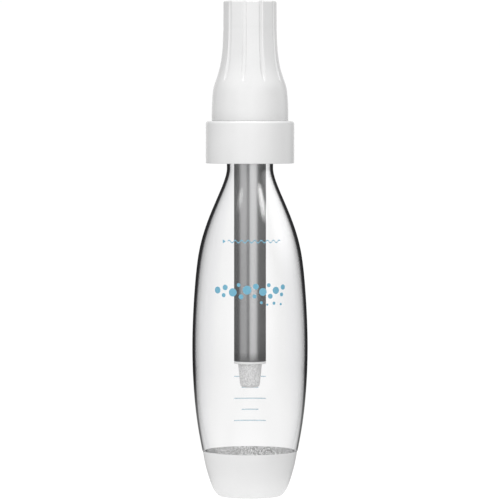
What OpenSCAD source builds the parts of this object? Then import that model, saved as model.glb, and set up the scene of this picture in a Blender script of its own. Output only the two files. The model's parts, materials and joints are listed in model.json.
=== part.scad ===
// Soda siphon: a clear bottle in a base cup, a screw collar, a head with a wide gas tube and a diffuser,
// and a bell that screws down and presses one gas charger onto a hollow pin.
// Millimetres, +Z up, origin under the middle of the foot.

/* [Bottle] */
// Widest diameter of the bottle
bottle_d = 88; // [84:0.5:92]
// Height of the widest place above the table
belly_z = 112; // [102:1:122]
// Height at which the neck becomes straight
neck_z = 249.5; // [240:0.5:260]
// Outer diameter of the neck
neck_d = 35.2; // [34.6:0.1:37]
// Length of the straight neck, up to the mouth
neck_h = 26; // [25.5:0.5:30]
// Thickness of the bottle's wall
bottle_wall = 2.4; // [1.6:0.1:2.7]
// Diameter of the bottle just above the base cup
rim_d = 72.6; // [70:0.2:75]
// Diameter of the flat spot on which the domed bottom stands in the cup
dome_flat_d = 14; // [10:1:20]
// Diameter of the support ring on the neck
support_ring_d = 41; // [39:0.5:42]
// Thickness of the support ring
support_ring_t = 2.2; // [1.6:0.1:2.8]
// Height of the support ring above the start of the neck
support_ring_lift = 5.6; // [5:0.2:6.2]

/* [Neck thread] */
// Pitch of the neck thread
neck_pitch = 4; // [3.6:0.1:4.4]
// Height of the neck thread's ridge
neck_ridge = 1.4; // [1.1:0.1:1.6]
// Height from the start of the neck to the thread
neck_thread_lift = 10.5; // [10:0.5:11.5]
// Turns of thread on the neck
neck_turns = 2.5; // [2:0.25:2.75]
// Turns of thread in the collar's nut
nut_turns = 2; // [1.5:0.25:2.25]

/* [Base cup] */
// Height of the base cup
cup_h = 34.4; // [30:0.2:38]
// Diameter of the cup at its heel, where the foot's rounding ends
heel_d = 57.8; // [54:0.2:60]
// Height of the heel
heel_h = 7.2; // [5:0.2:9]
// Diameter of the flat foot
foot_d = 46.8; // [42:0.2:50]
// Width of the ring that the foot stands on
foot_ring_w = 6; // [4:0.5:9]
// Depth of the recess inside that ring
foot_recess = 1; // [0.6:0.1:1.5]
// Thickness of the cup's wall
cup_wall = 1.8; // [1.4:0.1:2.2]
// Thickness of the cup's floor
cup_floor = 2; // [1.5:0.1:3]

/* [Collar] */
// Outer diameter of the collar
collar_d = 67; // [62:0.5:72]
// Height of the collar
collar_h = 31; // [30:0.2:33]
// Thickness of the collar's outer wall
collar_wall = 2.2; // [1.6:0.1:3]
// Thickness of the collar's top
collar_top_t = 1.6; // [1.2:0.1:2.4]
// Radius of the collar's top edge
collar_edge_r = 1.9; // [1:0.1:2.4]
// Wall of the threaded nut inside the collar
nut_wall = 3; // [2.4:0.1:3.6]
// Thickness of the nut's top
nut_top_t = 2; // [1.5:0.1:2.6]
// Keys that hold the nut in the collar
key_count = 6; // [4:1:8]
// Width of a key
key_w = 2.4; // [1.8:0.1:3]
// Thickness of the collar's ribs beside each key
rib_t = 1.6; // [1.2:0.1:2]

/* [Head core] */
// Thickness of the gasket on the bottle's mouth
gasket_t = 1.8; // [1.2:0.1:2.4]
// Thickness of the core's flange
flange_t = 3.7; // [3.2:0.1:4.5]
// Thickness of the thrust washer
washer_t = 0.7; // [0.5:0.1:1]
// Diameter of the core's stem, under its thread
stem_d = 28.2; // [27.4:0.1:28.8]
// Height of the stem above the collar
stem_h = 17.7; // [16.5:0.1:20]
// Length of the spigot inside the gas tube
spigot_h = 19.8; // [17:0.2:24]
// Diameter of the boss that guides the charger's neck
boss_d = 14.6; // [14:0.1:14.9]
// Height of that boss above the stem
boss_h = 8; // [6:0.2:8.4]
// Height of the charger seal's floor above the stem
seal_lift = 1.6; // [1.2:0.1:2.2]
// Thickness of the charger seal
seal_t = 2; // [1.5:0.1:2.4]
// Thickness of the circlip above the collar
circlip_t = 0.8; // [0.6:0.1:1]
// Section of the O-rings
o_ring_t = 1.4; // [1.2:0.1:1.6]

/* [Piercing pin] */
// Diameter of the piercing pin
pin_d = 2; // [1.6:0.1:2.2]
// Bore of the piercing pin
pin_bore_d = 0.9; // [0.6:0.1:1]
// Reach of the pin above the charger seal
pin_reach = 2.9; // [2.2:0.1:3.6]
// Diameter of the brass pin carrier
carrier_d = 9.8; // [9:0.2:10]
// Length of the pin carrier
carrier_h = 8; // [7:0.2:9]
// Thickness of the gas filter under the carrier
filter_t = 1.2; // [0.8:0.1:1.6]
// Diameter of the gas channel through the core
channel_d = 2.4; // [1.8:0.1:2.8]

/* [Check valve] */
// Diameter of the valve seat and the cage
valve_d = 9; // [8.8:0.1:9.4]
// Height of the valve seat
seat_h = 4.5; // [4:0.1:5.5]
// Diameter of the check ball
ball_d = 4.8; // [4.4:0.1:5]
// Bore of the cage around the ball
cage_bore_d = 5.8; // [5.7:0.1:6.2]
// Thickness of the cage's floor
cage_floor_t = 1.5; // [1:0.1:2]
// Wire of the check spring
check_wire_d = 0.4; // [0.3:0.05:0.5]
// Curls of the check spring
check_curls = 5; // [4:1:6]

/* [Relief valve] */
// Distance of the relief valve from the axis
relief_r = 10; // [9.9:0.1:10.4]
// Bore of the relief valve
relief_bore_d = 4.8; // [4.4:0.1:5]
// Height of the relief seat above the core's flange
relief_lift = 5; // [4.6:0.1:6]
// Length of the relief plunger
poppet_h = 5; // [4:0.2:6]
// Thickness of the plunger's rubber face
poppet_seal_t = 1; // [0.8:0.1:1.4]
// Wire of the relief spring
relief_wire_d = 0.5; // [0.4:0.05:0.6]
// Curls of the relief spring
relief_curls = 5; // [4:1:6]
// Thickness of the relief cap
relief_cap_t = 3; // [2.4:0.1:3.4]

/* [Gas tube] */
// Outer diameter of the gas tube
tube_d = 24.2; // [23.6:0.1:24.6]
// Wall of the gas tube
tube_wall = 1; // [0.8:0.1:1.4]
// Length of the gas tube
tube_len = 174.4; // [140:0.2:185]
// Thickness of the end plug's visible ring
plug_t = 1.7; // [1.2:0.1:2.5]
// Length of the end plug inside the tube
plug_h = 10; // [8:0.5:14]
// Length of the nipple that carries the diffuser
nipple_h = 8; // [6:0.5:9]
// Diameter of that nipple
nipple_d = 11; // [10.4:0.1:11.4]
// Diameter of the diffuser at its top
diffuser_top_d = 18.2; // [17.6:0.1:20]
// Diameter of the diffuser at its lower end
diffuser_end_d = 14.4; // [14:0.1:15.6]
// Height of the diffuser
diffuser_h = 18.2; // [16:0.2:20]
// Thickness of the diffuser's bottom
diffuser_floor_t = 2.6; // [2:0.1:3.2]
// Radius of the diffuser's lower edge
diffuser_edge_r = 1.2; // [0.8:0.1:1.4]

/* [Charger] */
// Diameter of the charger
charger_d = 18; // [17.6:0.1:18.6]
// Length of the charger
charger_len = 65.5; // [64:0.1:67]
// Diameter of the charger's neck
charger_neck_d = 8.6; // [8.2:0.1:8.8]
// Length of the charger's neck
charger_neck_h = 8.6; // [8:0.1:9.4]
// Height of the charger's shoulder
charger_shoulder_h = 6.5; // [5.5:0.1:8]
// Wall of the charger
charger_wall = 1.3; // [1:0.1:1.5]
// Thickness of the charger's sealing cap
charger_cap_t = 0.5; // [0.4:0.1:0.8]

/* [Charger holder] */
// Diameter of the bell at its top
bell_top_d = 40.6; // [39:0.2:42]
// Diameter of the bell at its foot
bell_foot_d = 58; // [56:0.2:60]
// Thickness of the bell's top
bell_top_t = 3; // [2.4:0.1:4]
// Thickness of the bell's wall
bell_wall = 3.4; // [3:0.1:3.8]
// Radius of the bell's top edge
bell_edge_r = 1.5; // [1:0.1:2]
// Thickness of the pad over the charger
pad_t = 1.7; // [1.2:0.1:2.4]
// Number of grip grooves round the bell
groove_count = 10; // [8:1:12]
// Width of a grip groove
groove_w = 2.6; // [2.2:0.1:3]
// Depth of a grip groove at its top
groove_depth = 1.1; // [0.7:0.1:1.2]
// Depth of a grip groove at its lower end
groove_end_depth = 1.9; // [1.3:0.1:2]
// Height of the grooves' lower ends above the bell's foot
groove_end_lift = 31.5; // [28:0.5:34]
// Direction of the first groove, in degrees from +X
groove_turn = 42.3; // [0:0.1:45]
// Ribs that hold the sleeve in the bell
bell_rib_count = 5; // [3:1:6]
// Pitch of the bell's thread
bell_pitch = 3; // [2.7:0.1:3.2]
// Height of the stem thread's ridge
bell_ridge = 1.1; // [0.9:0.1:1.2]
// Height of the stem's thread above the collar
bell_thread_lift = 4.2; // [4:0.1:5]
// Turns of thread on the stem
stem_turns = 4; // [3:0.25:4]
// Turns of thread in the sleeve
sleeve_turns = 3.5; // [2.5:0.25:3.5]
// Wall of the sleeve's threaded skirt
skirt_wall = 2.1; // [1.6:0.1:2.6]
// Wall of the sleeve around the charger
sleeve_wall = 1.6; // [1.2:0.1:2]
// Gap between the charger and the sleeve
sleeve_gap = 0.5; // [0.4:0.1:0.8]

/* [Clearances] */
// Gap between pieces that move past each other
run_gap = 0.3; // [0.25:0.01:0.35]
// Gap between a seal or valve and its seat
seat_gap = 0.05; // [0.03:0.01:0.1]
// Gap between curved faces of pieces that are fixed together
fit_gap = 0.08; // [0.05:0.01:0.12]
// Gap under the circlip
circlip_gap = 0.2; // [0.15:0.01:0.3]

/* [Hidden] */
$fn = 96;
overrun = 1;
curve_steps = 14;
side_steps = 4;
edge_steps = 6;

// Radii that several pieces share
bottle_r = bottle_d / 2;
neck_r = neck_d / 2;
neck_bore_r = neck_r - bottle_wall;
rim_r = rim_d / 2;
cup_lip = 0.3;
cup_r = rim_r - cup_lip;
dome_r = cup_r - cup_wall - fit_gap;
tube_r = tube_d / 2;
tube_bore_r = tube_r - tube_wall;
spigot_r = tube_bore_r - fit_gap;
stem_r = stem_d / 2;
stem_ridge_r = stem_r + bell_ridge;
hole_r = stem_ridge_r + run_gap;
boss_r = boss_d / 2;
carrier_r = carrier_d / 2;
valve_r = valve_d / 2;
pin_r = pin_d / 2;
ball_r = ball_d / 2;
cage_bore_r = cage_bore_d / 2;
relief_bore_r = relief_bore_d / 2;
charger_r = charger_d / 2;
charger_neck_r = charger_neck_d / 2;
nipple_r = nipple_d / 2;
nut_bore_r = neck_r + neck_ridge + run_gap;
nut_r = nut_bore_r + nut_wall;
collar_r = collar_d / 2;
collar_bore_r = collar_r - collar_wall;

// Heights, from the foot up to the bell's top
cup_floor_z = foot_recess + cup_floor;
mouth_z = neck_z + neck_h;
gasket_z = mouth_z + seat_gap;
flange_z = gasket_z + gasket_t;
flange_top_z = flange_z + flange_t;
nut_under_top_z = flange_top_z + washer_t + seat_gap;
nut_top_z = nut_under_top_z + nut_top_t;
collar_top_z = nut_top_z + collar_top_t;
collar_z = collar_top_z - collar_h;
stem_top_z = collar_top_z + stem_h;
boss_top_z = stem_top_z + boss_h;
seal_z = stem_top_z + seal_lift;
seal_top_z = seal_z + seal_t;
tip_z = seal_top_z + seat_gap;
shoulder_z = tip_z + charger_neck_h;
charger_body_z = shoulder_z + charger_shoulder_h;
charger_top_z = tip_z + charger_len;
pad_z = charger_top_z + run_gap;
bell_ceiling_z = pad_z + pad_t;
bell_top_z = bell_ceiling_z + bell_top_t;
bell_z = collar_top_z + run_gap;
bell_h = bell_top_z - bell_z;

// The tube and what hangs from it
tube_end_z = flange_z - tube_len;
plug_z = tube_end_z - plug_t;
diffuser_z = plug_z - diffuser_h;
plug_bore_r = nipple_r / 2;
spigot_z = flange_z - spigot_h;

// The pin, its carrier and the filter, in one stepped bore
carrier_z = seal_z - carrier_h;
filter_z = carrier_z - filter_t;
pin_foot_share = 0.25;
pin_tip_slope = 0.5;
pin_z = carrier_z + carrier_h * pin_foot_share;
pin_top_z = seal_top_z + pin_reach;
seal_r = charger_neck_r + sleeve_gap;
pocket_r = seal_r + sleeve_gap;

// O-rings on the spigot and the plug, and the circlip in the stem's groove
o_ring_shares = [0.25, 0.6];
o_ring_heights = [for (s = o_ring_shares) spigot_z + spigot_h * s];
plug_ring_z = tube_end_z + plug_h / 2;
circlip_bore_r = stem_r - circlip_t;
circlip_r = hole_r + run_gap + circlip_t;
circlip_opening = 40;

// The check valve: ball under a 45 degree cone, spring on the cage's floor
check_seat_top_z = flange_z - overrun;
check_seat_z = check_seat_top_z - seat_h;
seat_bore_share = 0.58;
seat_cone_share = 0.5;
check_spring_share = 0.66;
cage_port_share = 0.2;
cage_port_count = 4;
seat_bore_r = ball_r * seat_bore_share;
seat_cone_h = ball_r * seat_cone_share;
seat_mouth_r = seat_bore_r + seat_cone_h;
ball_z = check_seat_z + seat_mouth_r - (ball_r + seat_gap) * sqrt(2);
check_spring_r = ball_r * check_spring_share;
check_spring_z = spigot_z + cage_floor_t;
check_spring_top_z = ball_z - sqrt(pow(ball_r + check_wire_d / 2 + seat_gap, 2) - pow(check_spring_r, 2))
    + check_wire_d / 2;

// The relief valve, at the back of the stem
relief_angle = 90;
relief_seat_z = flange_top_z + relief_lift;
relief_inlet_share = 0.34;
relief_inlet_r = relief_bore_r * relief_inlet_share;
relief_channel_z = relief_seat_z - relief_inlet_r * 2;
poppet_nose_share = 0.3;
relief_slot_share = 0.25;
annulus_r = (tube_r + neck_bore_r) / 2;
poppet_z = relief_seat_z + seat_gap + poppet_seal_t;
poppet_top_z = poppet_z + poppet_h;
poppet_r = relief_bore_r - run_gap;
relief_cap_z = stem_top_z - relief_cap_t;
relief_spring_r = relief_bore_r - run_gap - relief_wire_d;

// The threads: ridges in short arcs, with vents between them
arcs_per_turn = 4;
arc_span = 60;
ridge_foot_share = 0.5;
ridge_tip_share = 0.3;
ridge_sink = 0.3;
neck_thread_z = neck_z + neck_thread_lift;
bell_thread_z = collar_top_z + bell_thread_lift;
nut_z = neck_z + support_ring_lift + support_ring_t + overrun;

// The sleeve in the bell
sleeve_z = collar_top_z + circlip_gap + circlip_t + run_gap;
skirt_bore_r = hole_r;
skirt_r = skirt_bore_r + skirt_wall;
sleeve_bore_r = charger_r + sleeve_gap;
sleeve_r = sleeve_bore_r + sleeve_wall;
skirt_top_z = stem_top_z + skirt_wall;
sleeve_neck_slope = 1.3;
sleeve_neck_z = skirt_top_z + (skirt_r - sleeve_r) * sleeve_neck_slope;

// Outlines, as shares. Sides are smooth curves drawn by a few control points, each a share of the radius
// and a share of the height; the first radius is the neck's or the bell's top, the last the widest.
low_side_shares = [[0.911, 0.343], [1.046, 1]];
high_side_shares = [[0.905, 0.422], [0.762, 0.594], [0.479, 0.751], [0.08, 0.919], [0, 0.983], [0, 1]];
bell_side_shares = [[1, 0], [1, 0.12], [0.935, 0.2], [0.88, 0.28], [0.533, 0.36], [0.238, 0.46],
                    [0.068, 0.6], [0.005, 0.78], [0, 1]];
dome_handle_share = 0.42;
dome_slope = 0.29;
heel_slope = 0.38;
cup_rim_slope = 0.13;
cup_handle_share = 0.33;
foot_handle_share = 0.6;
groove_shares = [0, 0.06, 0.14, 0.26, 0.42, 0.65, 1];

// Points on a smooth curve drawn by control points, from the first of them to the last
function smooth(points) =
    let (last = len(points) - 1,
         p = concat([2 * points[0] - points[1]], points, [2 * points[last] - points[last - 1]]))
    concat([for (i = [0 : last - 1], j = [0 : side_steps - 1])
               let (t = j / side_steps, u = 1 - t)
               (u * u * u * p[i] + (3 * t * t * t - 6 * t * t + 4) * p[i + 1]
                + (3 * u * u * u - 6 * u * u + 4) * p[i + 2] + t * t * t * p[i + 3]) / 6],
           [points[last]]);

// Points on a cubic curve from a to d, with handles at b and c
function curve(a, b, c, d, steps = curve_steps) =
    [for (i = [0 : steps]) let (t = i / steps, u = 1 - t)
        u * u * u * a + 3 * u * u * t * b + 3 * u * t * t * c + t * t * t * d];

// Points on an arc round the centre, from angle a0 to a1
function arc(centre, r, a0, a1, steps = edge_steps) =
    [for (i = [0 : steps]) let (a = a0 + (a1 - a0) * i / steps) centre + r * [cos(a), sin(a)]];

// A list of points without its first one
function rest(points) = [for (i = [1 : len(points) - 1]) points[i]];

// A list of points from last to first
function back(points) = [for (i = [len(points) - 1 : -1 : 0]) points[i]];

// The bottle's side from the cup's rim to the mouth, moved inwards by inset; foot_r is its radius at the rim
function bottle_side(inset, foot_r) =
    let (bulge = bottle_r - neck_r,
         low = belly_z - cup_h,
         high = neck_z - belly_z,
         top_r = neck_r - inset)
    concat(smooth(concat([[foot_r, cup_h]],
                         [for (s = low_side_shares) [top_r + bulge * s[0], cup_h + low * s[1]]],
                         [for (s = high_side_shares) [top_r + bulge * s[0], belly_z + high * s[1]]])),
           [[top_r, mouth_z]]);

// The domed bottom, from the flat spot out to the cup's rim, moved inwards by inset
function bottle_dome(inset) =
    let (flat = [dome_flat_d / 2, cup_floor_z + inset],
         edge = [dome_r - inset, cup_h],
         reach = (edge[1] - flat[1]) * dome_handle_share)
    curve(flat, flat + [reach, 0], edge - reach * [dome_slope, 1], edge);

// The cup's side from its foot to its rim, moved inwards by inset, with the foot at height z
function cup_side(inset, z) =
    let (foot = [foot_d / 2 - inset, z],
         heel = [heel_d / 2 - inset, heel_h],
         edge = [cup_r - inset, cup_h],
         flat = (heel[0] - foot[0]) * foot_handle_share,
         bend = (heel[1] - z) * cup_handle_share,
         rise = (cup_h - heel[1]) * cup_handle_share)
    concat(curve(foot, foot + [flat, 0], heel - bend * [heel_slope, 1], heel),
           rest(curve(heel, heel + rise * [heel_slope, 1], edge - rise * [cup_rim_slope, 1], edge)));

// The bell's side from its foot up to its top, moved inwards by inset
function bell_side(inset) =
    let (top_r = bell_top_d / 2,
         spread = bell_foot_d / 2 - top_r)
    smooth([for (s = bell_side_shares) [top_r + spread * s[0] - inset, bell_z + bell_h * s[1]]]);

// The part of a rising outline between two heights
function between(points, low_z, high_z) = [for (p = points) if (p[1] > low_z && p[1] < high_z) p];

// The bell's outer radius at a height
function bell_r_at(z) = lookup(z, [for (p = bell_side(0)) [p[1], p[0]]]);

// Points of one coil: rings of six points along a helix of the given curls
coil_sides = 6;
coil_rings = 8;
function coil_centre(r, low, high, curls, i) =
    let (a = 360 * i / coil_rings)
    [r * cos(a), r * sin(a), low + (high - low) * i / (coil_rings * curls)];
function coil_points(r, wire_d, low, high, curls) =
    let (slope = atan((high - low) / curls / (2 * PI * r)))
    [for (i = [0 : coil_rings * curls], k = [0 : coil_sides - 1])
        let (a = 360 * i / coil_rings,
             b = 360 * k / coil_sides,
             out = [cos(a), sin(a), 0],
             up = [sin(a) * sin(slope), -cos(a) * sin(slope), cos(slope)])
        coil_centre(r, low, high, curls, i) + wire_d / 2 * (cos(b) * out + sin(b) * up)];

// Least gap of a coil to itself, measured between its centre points one curl apart
function coil_gap(r, wire_d, low, high, curls) =
    min([for (i = [0 : coil_rings * (curls - 1)], j = [coil_rings - 1 : coil_rings + 1])
        if (i + j <= coil_rings * curls)
            norm(coil_centre(r, low, high, curls, i + j) - coil_centre(r, low, high, curls, i)) - wire_d]);

// A spring: one unbroken tube from z to top_z
module coil(r, wire_d, z, top_z, curls) {
    low = z + wire_d / 2;
    high = top_z - wire_d / 2;
    last = coil_rings * curls * coil_sides;
    sides = [for (i = [0 : coil_rings * curls - 1], k = [0 : coil_sides - 1], h = [0, 1])
        let (a = i * coil_sides + k,
             b = i * coil_sides + (k + 1) % coil_sides)
        h == 0 ? [a, b, b + coil_sides] : [a, b + coil_sides, a + coil_sides]];
    first_cap = [for (k = [1 : coil_sides - 2]) [0, k + 1, k]];
    last_cap = [for (k = [1 : coil_sides - 2]) [last, last + k, last + k + 1]];
    echo(least_gap_of_coil = coil_gap(r, wire_d, low, high, curls));
    polyhedron(points = coil_points(r, wire_d, low, high, curls), faces = concat(sides, first_cap, last_cap));
}

// A tube or washer
module ring(outer_r, inner_r, h) {
    difference() {
        cylinder(h = h, r = outer_r);
        translate([0, 0, -overrun])
            cylinder(h = h + 2 * overrun, r = inner_r);
    }
}

// A torus with a round section
module o_ring(middle_r, section_d) {
    rotate_extrude()
        translate([middle_r, 0])
            circle(d = section_d, $fn = 24);
}

// A straight rod between two points
module rod(a, b, r) {
    d = b - a;
    translate(a)
        rotate([0, acos(d[2] / norm(d)), atan2(d[1], d[0])])
            cylinder(h = norm(d), r = r);
}

// Thread ridges: short arcs, each tilted to lie along the helix; tip_r under root_r gives an inner thread
module ridges(root_r, tip_r, pitch, turns) {
    side = tip_r > root_r ? 1 : -1;
    sunk_r = root_r - side * ridge_sink;
    tip = pitch * ridge_tip_share / 2;
    foot = tip + pitch * (ridge_foot_share - ridge_tip_share) / 2 * (tip_r - sunk_r) / (tip_r - root_r);
    for (i = [0 : floor(turns * arcs_per_turn) - 1])
        rotate([0, 0, 360 / arcs_per_turn * i])
            translate([0, 0, pitch / arcs_per_turn * i])
                rotate([atan(pitch / (2 * PI * root_r)), 0, 0])
                    rotate([0, 0, -arc_span / 2])
                        rotate_extrude(angle = arc_span)
                            polygon([[sunk_r, -foot], [tip_r, -tip], [tip_r, tip], [sunk_r, foot]]);
}

// Copies round the axis
module around(count) {
    for (i = [0 : count - 1])
        rotate([0, 0, 360 / count * i])
            children();
}

// Clear bottle: domed bottom, wide belly, slender neck with a support ring and a thread
module bottle() {
    color("#dfe9ea", 0.4)
    union() {
        rotate_extrude()
            polygon(concat([[0, cup_floor_z]],
                           bottle_dome(0),
                           bottle_side(0, rim_r),
                           back(bottle_side(bottle_wall, dome_r - bottle_wall)),
                           rest(back(bottle_dome(bottle_wall))),
                           [[0, cup_floor_z + bottle_wall]]));
        translate([0, 0, neck_z + support_ring_lift])
            ring(support_ring_d / 2, neck_r - ridge_sink, support_ring_t);
        translate([0, 0, neck_thread_z])
            ridges(neck_r, neck_r + neck_ridge, neck_pitch, neck_turns);
    }
}

// White cup on the bottle's domed bottom
module base_cup() {
    color("#ececec")
    rotate_extrude()
        polygon(concat([[0, foot_recess],
                        [foot_d / 2 - foot_ring_w, foot_recess],
                        [foot_d / 2 - foot_ring_w, 0]],
                       cup_side(0, 0),
                       back(cup_side(cup_wall, cup_floor_z)),
                       [[0, cup_floor_z]]));
}

// Seal on the bottle's mouth
module neck_gasket() {
    color("#8f9499")
    translate([0, 0, gasket_z])
        ring(neck_r, neck_bore_r, gasket_t);
}

// Body of the head: flange, threaded stem, boss for the charger's neck and spigot for the tube
module head_core() {
    color("#d8dadb")
    difference() {
        union() {
            translate([0, 0, spigot_z])
                cylinder(h = spigot_h + overrun, r = spigot_r);
            translate([0, 0, flange_z])
                cylinder(h = flange_t, r = neck_r);
            translate([0, 0, flange_z])
                cylinder(h = stem_top_z - flange_z, r = stem_r);
            translate([0, 0, flange_z])
                cylinder(h = boss_top_z - flange_z, r = boss_r);
            translate([0, 0, bell_thread_z])
                ridges(stem_r, stem_ridge_r, bell_pitch, stem_turns);
        }
        translate([0, 0, seal_z])
            cylinder(h = boss_top_z - seal_z + overrun, r = pocket_r);
        translate([0, 0, filter_z])
            cylinder(h = seal_z - filter_z + overrun, r = carrier_r + fit_gap);
        translate([0, 0, spigot_z])
            cylinder(h = filter_z - spigot_z + overrun, d = channel_d);
        translate([0, 0, spigot_z - overrun])
            cylinder(h = check_seat_top_z - spigot_z + overrun, r = valve_r + fit_gap);
        for (z = o_ring_heights)
            translate([0, 0, z - o_ring_t / 2 - fit_gap])
                ring(spigot_r + overrun, spigot_r - o_ring_t, o_ring_t + 2 * fit_gap);
        translate([0, 0, collar_top_z + circlip_gap - fit_gap])
            ring(stem_ridge_r + overrun, circlip_bore_r, circlip_t + 2 * fit_gap);
        rotate([0, 0, relief_angle])
            relief_bores();
    }
}

// Bores of the relief valve: inlet from the space round the tube, seat channel and plunger bore
module relief_bores() {
    inlet = [annulus_r, 0, flange_z];
    meet = [relief_r, 0, relief_channel_z];
    along = (meet - inlet) / norm(meet - inlet);
    rod(inlet - overrun * along, meet + relief_inlet_r * along, relief_inlet_r);
    translate(meet)
        cylinder(h = relief_seat_z - relief_channel_z + overrun, r = relief_inlet_r);
    translate([relief_r, 0, relief_seat_z])
        cylinder(h = stem_top_z - relief_seat_z + overrun, r = relief_bore_r);
}

// Slippery washer between the core's flange and the turning nut
module thrust_washer() {
    color("#f3f3ee")
    translate([0, 0, flange_top_z])
        ring(neck_r - fit_gap, stem_r + fit_gap, washer_t);
}

// Open ring in the stem's groove that keeps the collar on the core
module core_circlip() {
    color("#9b9fa3")
    translate([0, 0, collar_top_z + circlip_gap])
        rotate([0, 0, circlip_opening / 2 - relief_angle])
            rotate_extrude(angle = 360 - circlip_opening)
                translate([circlip_bore_r + fit_gap, 0])
                    square([circlip_r - circlip_bore_r - fit_gap, circlip_t]);
}

// Two O-rings between the spigot and the tube
module tube_o_rings() {
    color("#2b2c2e")
    for (z = o_ring_heights)
        translate([0, 0, z])
            o_ring(tube_bore_r - o_ring_t / 2 - fit_gap / 2, o_ring_t - fit_gap);
}

// Brass insert that holds the piercing pin
module pin_carrier() {
    color("#c9a94f")
    translate([0, 0, carrier_z])
        ring(carrier_r, pin_r + fit_gap / 2, carrier_h);
}

// Hollow pin with a slanted tip
module piercing_pin() {
    cutter = [pin_d * 4, pin_d * 2, pin_d * 2];
    color("#b9bdc2")
    difference() {
        translate([0, 0, pin_z])
            cylinder(h = pin_top_z - pin_z, r = pin_r);
        translate([0, 0, pin_z - overrun])
            cylinder(h = pin_top_z - pin_z + 2 * overrun, d = pin_bore_d);
        translate([-pin_r, 0, pin_top_z])
            rotate([0, atan(pin_tip_slope), 0])
                translate([-pin_d, -pin_d, 0])
                    cube(cutter);
    }
}

// Seal under the charger's neck
module charger_seal() {
    color("#3a3b3d")
    translate([0, 0, seal_z])
        ring(seal_r, pin_r + fit_gap, seal_t);
}

// Sintered disc that keeps grit out of the check valve
module gas_filter() {
    color("#a8865a")
    translate([0, 0, filter_z])
        cylinder(h = filter_t, r = carrier_r);
}

// Valve seat: a bore that opens in a cone above the ball
module check_seat() {
    color("#c9a94f")
    difference() {
        translate([0, 0, check_seat_z])
            cylinder(h = seat_h, r = valve_r);
        translate([0, 0, check_seat_z - overrun])
            cylinder(h = seat_h + 2 * overrun, r = seat_bore_r);
        translate([0, 0, check_seat_z])
            cylinder(h = seat_cone_h, r1 = seat_mouth_r, r2 = seat_bore_r);
    }
}

// Ball of the check valve
module check_ball() {
    color("#c3c7cb")
    translate([0, 0, ball_z])
        sphere(r = ball_r);
}

// Cage that guides the ball and carries its spring, with gas ports in its floor
module check_cage() {
    port_r = cage_bore_r * cage_port_share;
    color("#c9a94f")
    difference() {
        translate([0, 0, spigot_z])
            cylinder(h = check_seat_z - spigot_z, r = valve_r);
        translate([0, 0, check_spring_z])
            cylinder(h = check_seat_z - spigot_z, r = cage_bore_r);
        around(cage_port_count)
            translate([cage_bore_r / 2, 0, spigot_z - overrun])
                cylinder(h = cage_floor_t + 2 * overrun, r = port_r);
    }
}

// Spring under the check ball
module check_spring() {
    color("#b9bdc2")
    coil(check_spring_r, check_wire_d, check_spring_z, check_spring_top_z, check_curls);
}

// Plunger of the relief valve, with a spring spigot on top
module relief_poppet() {
    color("#c9a94f")
    rotate([0, 0, relief_angle])
        translate([relief_r, 0, poppet_z]) {
            cylinder(h = poppet_h, r = poppet_r);
            cylinder(h = poppet_h + poppet_h * poppet_nose_share, r = relief_spring_r - relief_wire_d);
        }
}

// Rubber face of the plunger
module relief_seal() {
    color("#3a3b3d")
    rotate([0, 0, relief_angle])
        translate([relief_r, 0, relief_seat_z + seat_gap])
            cylinder(h = poppet_seal_t, r = poppet_r);
}

// Spring over the plunger
module relief_spring() {
    color("#b9bdc2")
    rotate([0, 0, relief_angle])
        translate([relief_r, 0, 0])
            coil(relief_spring_r, relief_wire_d, poppet_top_z, relief_cap_z, relief_curls);
}

// Cap over the spring, with a vent hole and a screwdriver slot
module relief_cap() {
    slot_w = relief_cap_t * relief_slot_share;
    color("#c9a94f")
    rotate([0, 0, relief_angle])
        translate([relief_r, 0, relief_cap_z])
            difference() {
                ring(relief_bore_r - fit_gap, relief_inlet_r, relief_cap_t);
                translate([-relief_bore_r, -slot_w / 2, relief_cap_t - slot_w])
                    cube([relief_bore_d, slot_w, slot_w + overrun]);
            }
}

// Wide satin tube that the gas flows down
module gas_tube() {
    color("#8d9092")
    translate([0, 0, tube_end_z])
        ring(tube_r, tube_bore_r, tube_len);
}

// White plug: visible ring, spigot in the tube and nipple for the diffuser
module tube_end_plug() {
    color("#f4f4f4")
    difference() {
        union() {
            translate([0, 0, plug_z])
                cylinder(h = plug_t, r = tube_r);
            translate([0, 0, plug_z])
                cylinder(h = plug_t + plug_h, r = spigot_r);
            translate([0, 0, plug_z - nipple_h])
                cylinder(h = nipple_h + plug_t, r = nipple_r);
        }
        translate([0, 0, plug_z - nipple_h - overrun])
            cylinder(h = nipple_h + plug_t + plug_h + 2 * overrun, r = plug_bore_r);
        translate([0, 0, plug_ring_z - o_ring_t / 2 - fit_gap])
            ring(spigot_r + overrun, spigot_r - o_ring_t, o_ring_t + 2 * fit_gap);
    }
}

// O-ring between the plug and the tube
module plug_o_ring() {
    color("#2b2c2e")
    translate([0, 0, plug_ring_z])
        o_ring(tube_bore_r - o_ring_t / 2 - fit_gap / 2, o_ring_t - fit_gap);
}

// Porous cup that breaks the gas into small bubbles
module diffuser() {
    top_r = diffuser_top_d / 2;
    end_r = diffuser_end_d / 2;
    bore_r = nipple_r + fit_gap;
    color("#d6d8d6")
    rotate_extrude()
        polygon(concat([[0, diffuser_z]],
                       arc([end_r - diffuser_edge_r, diffuser_z + diffuser_edge_r], diffuser_edge_r, -90, 0),
                       [[top_r, plug_z],
                        [bore_r, plug_z],
                        [bore_r, diffuser_z + diffuser_floor_t],
                        [0, diffuser_z + diffuser_floor_t]]));
}

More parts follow.
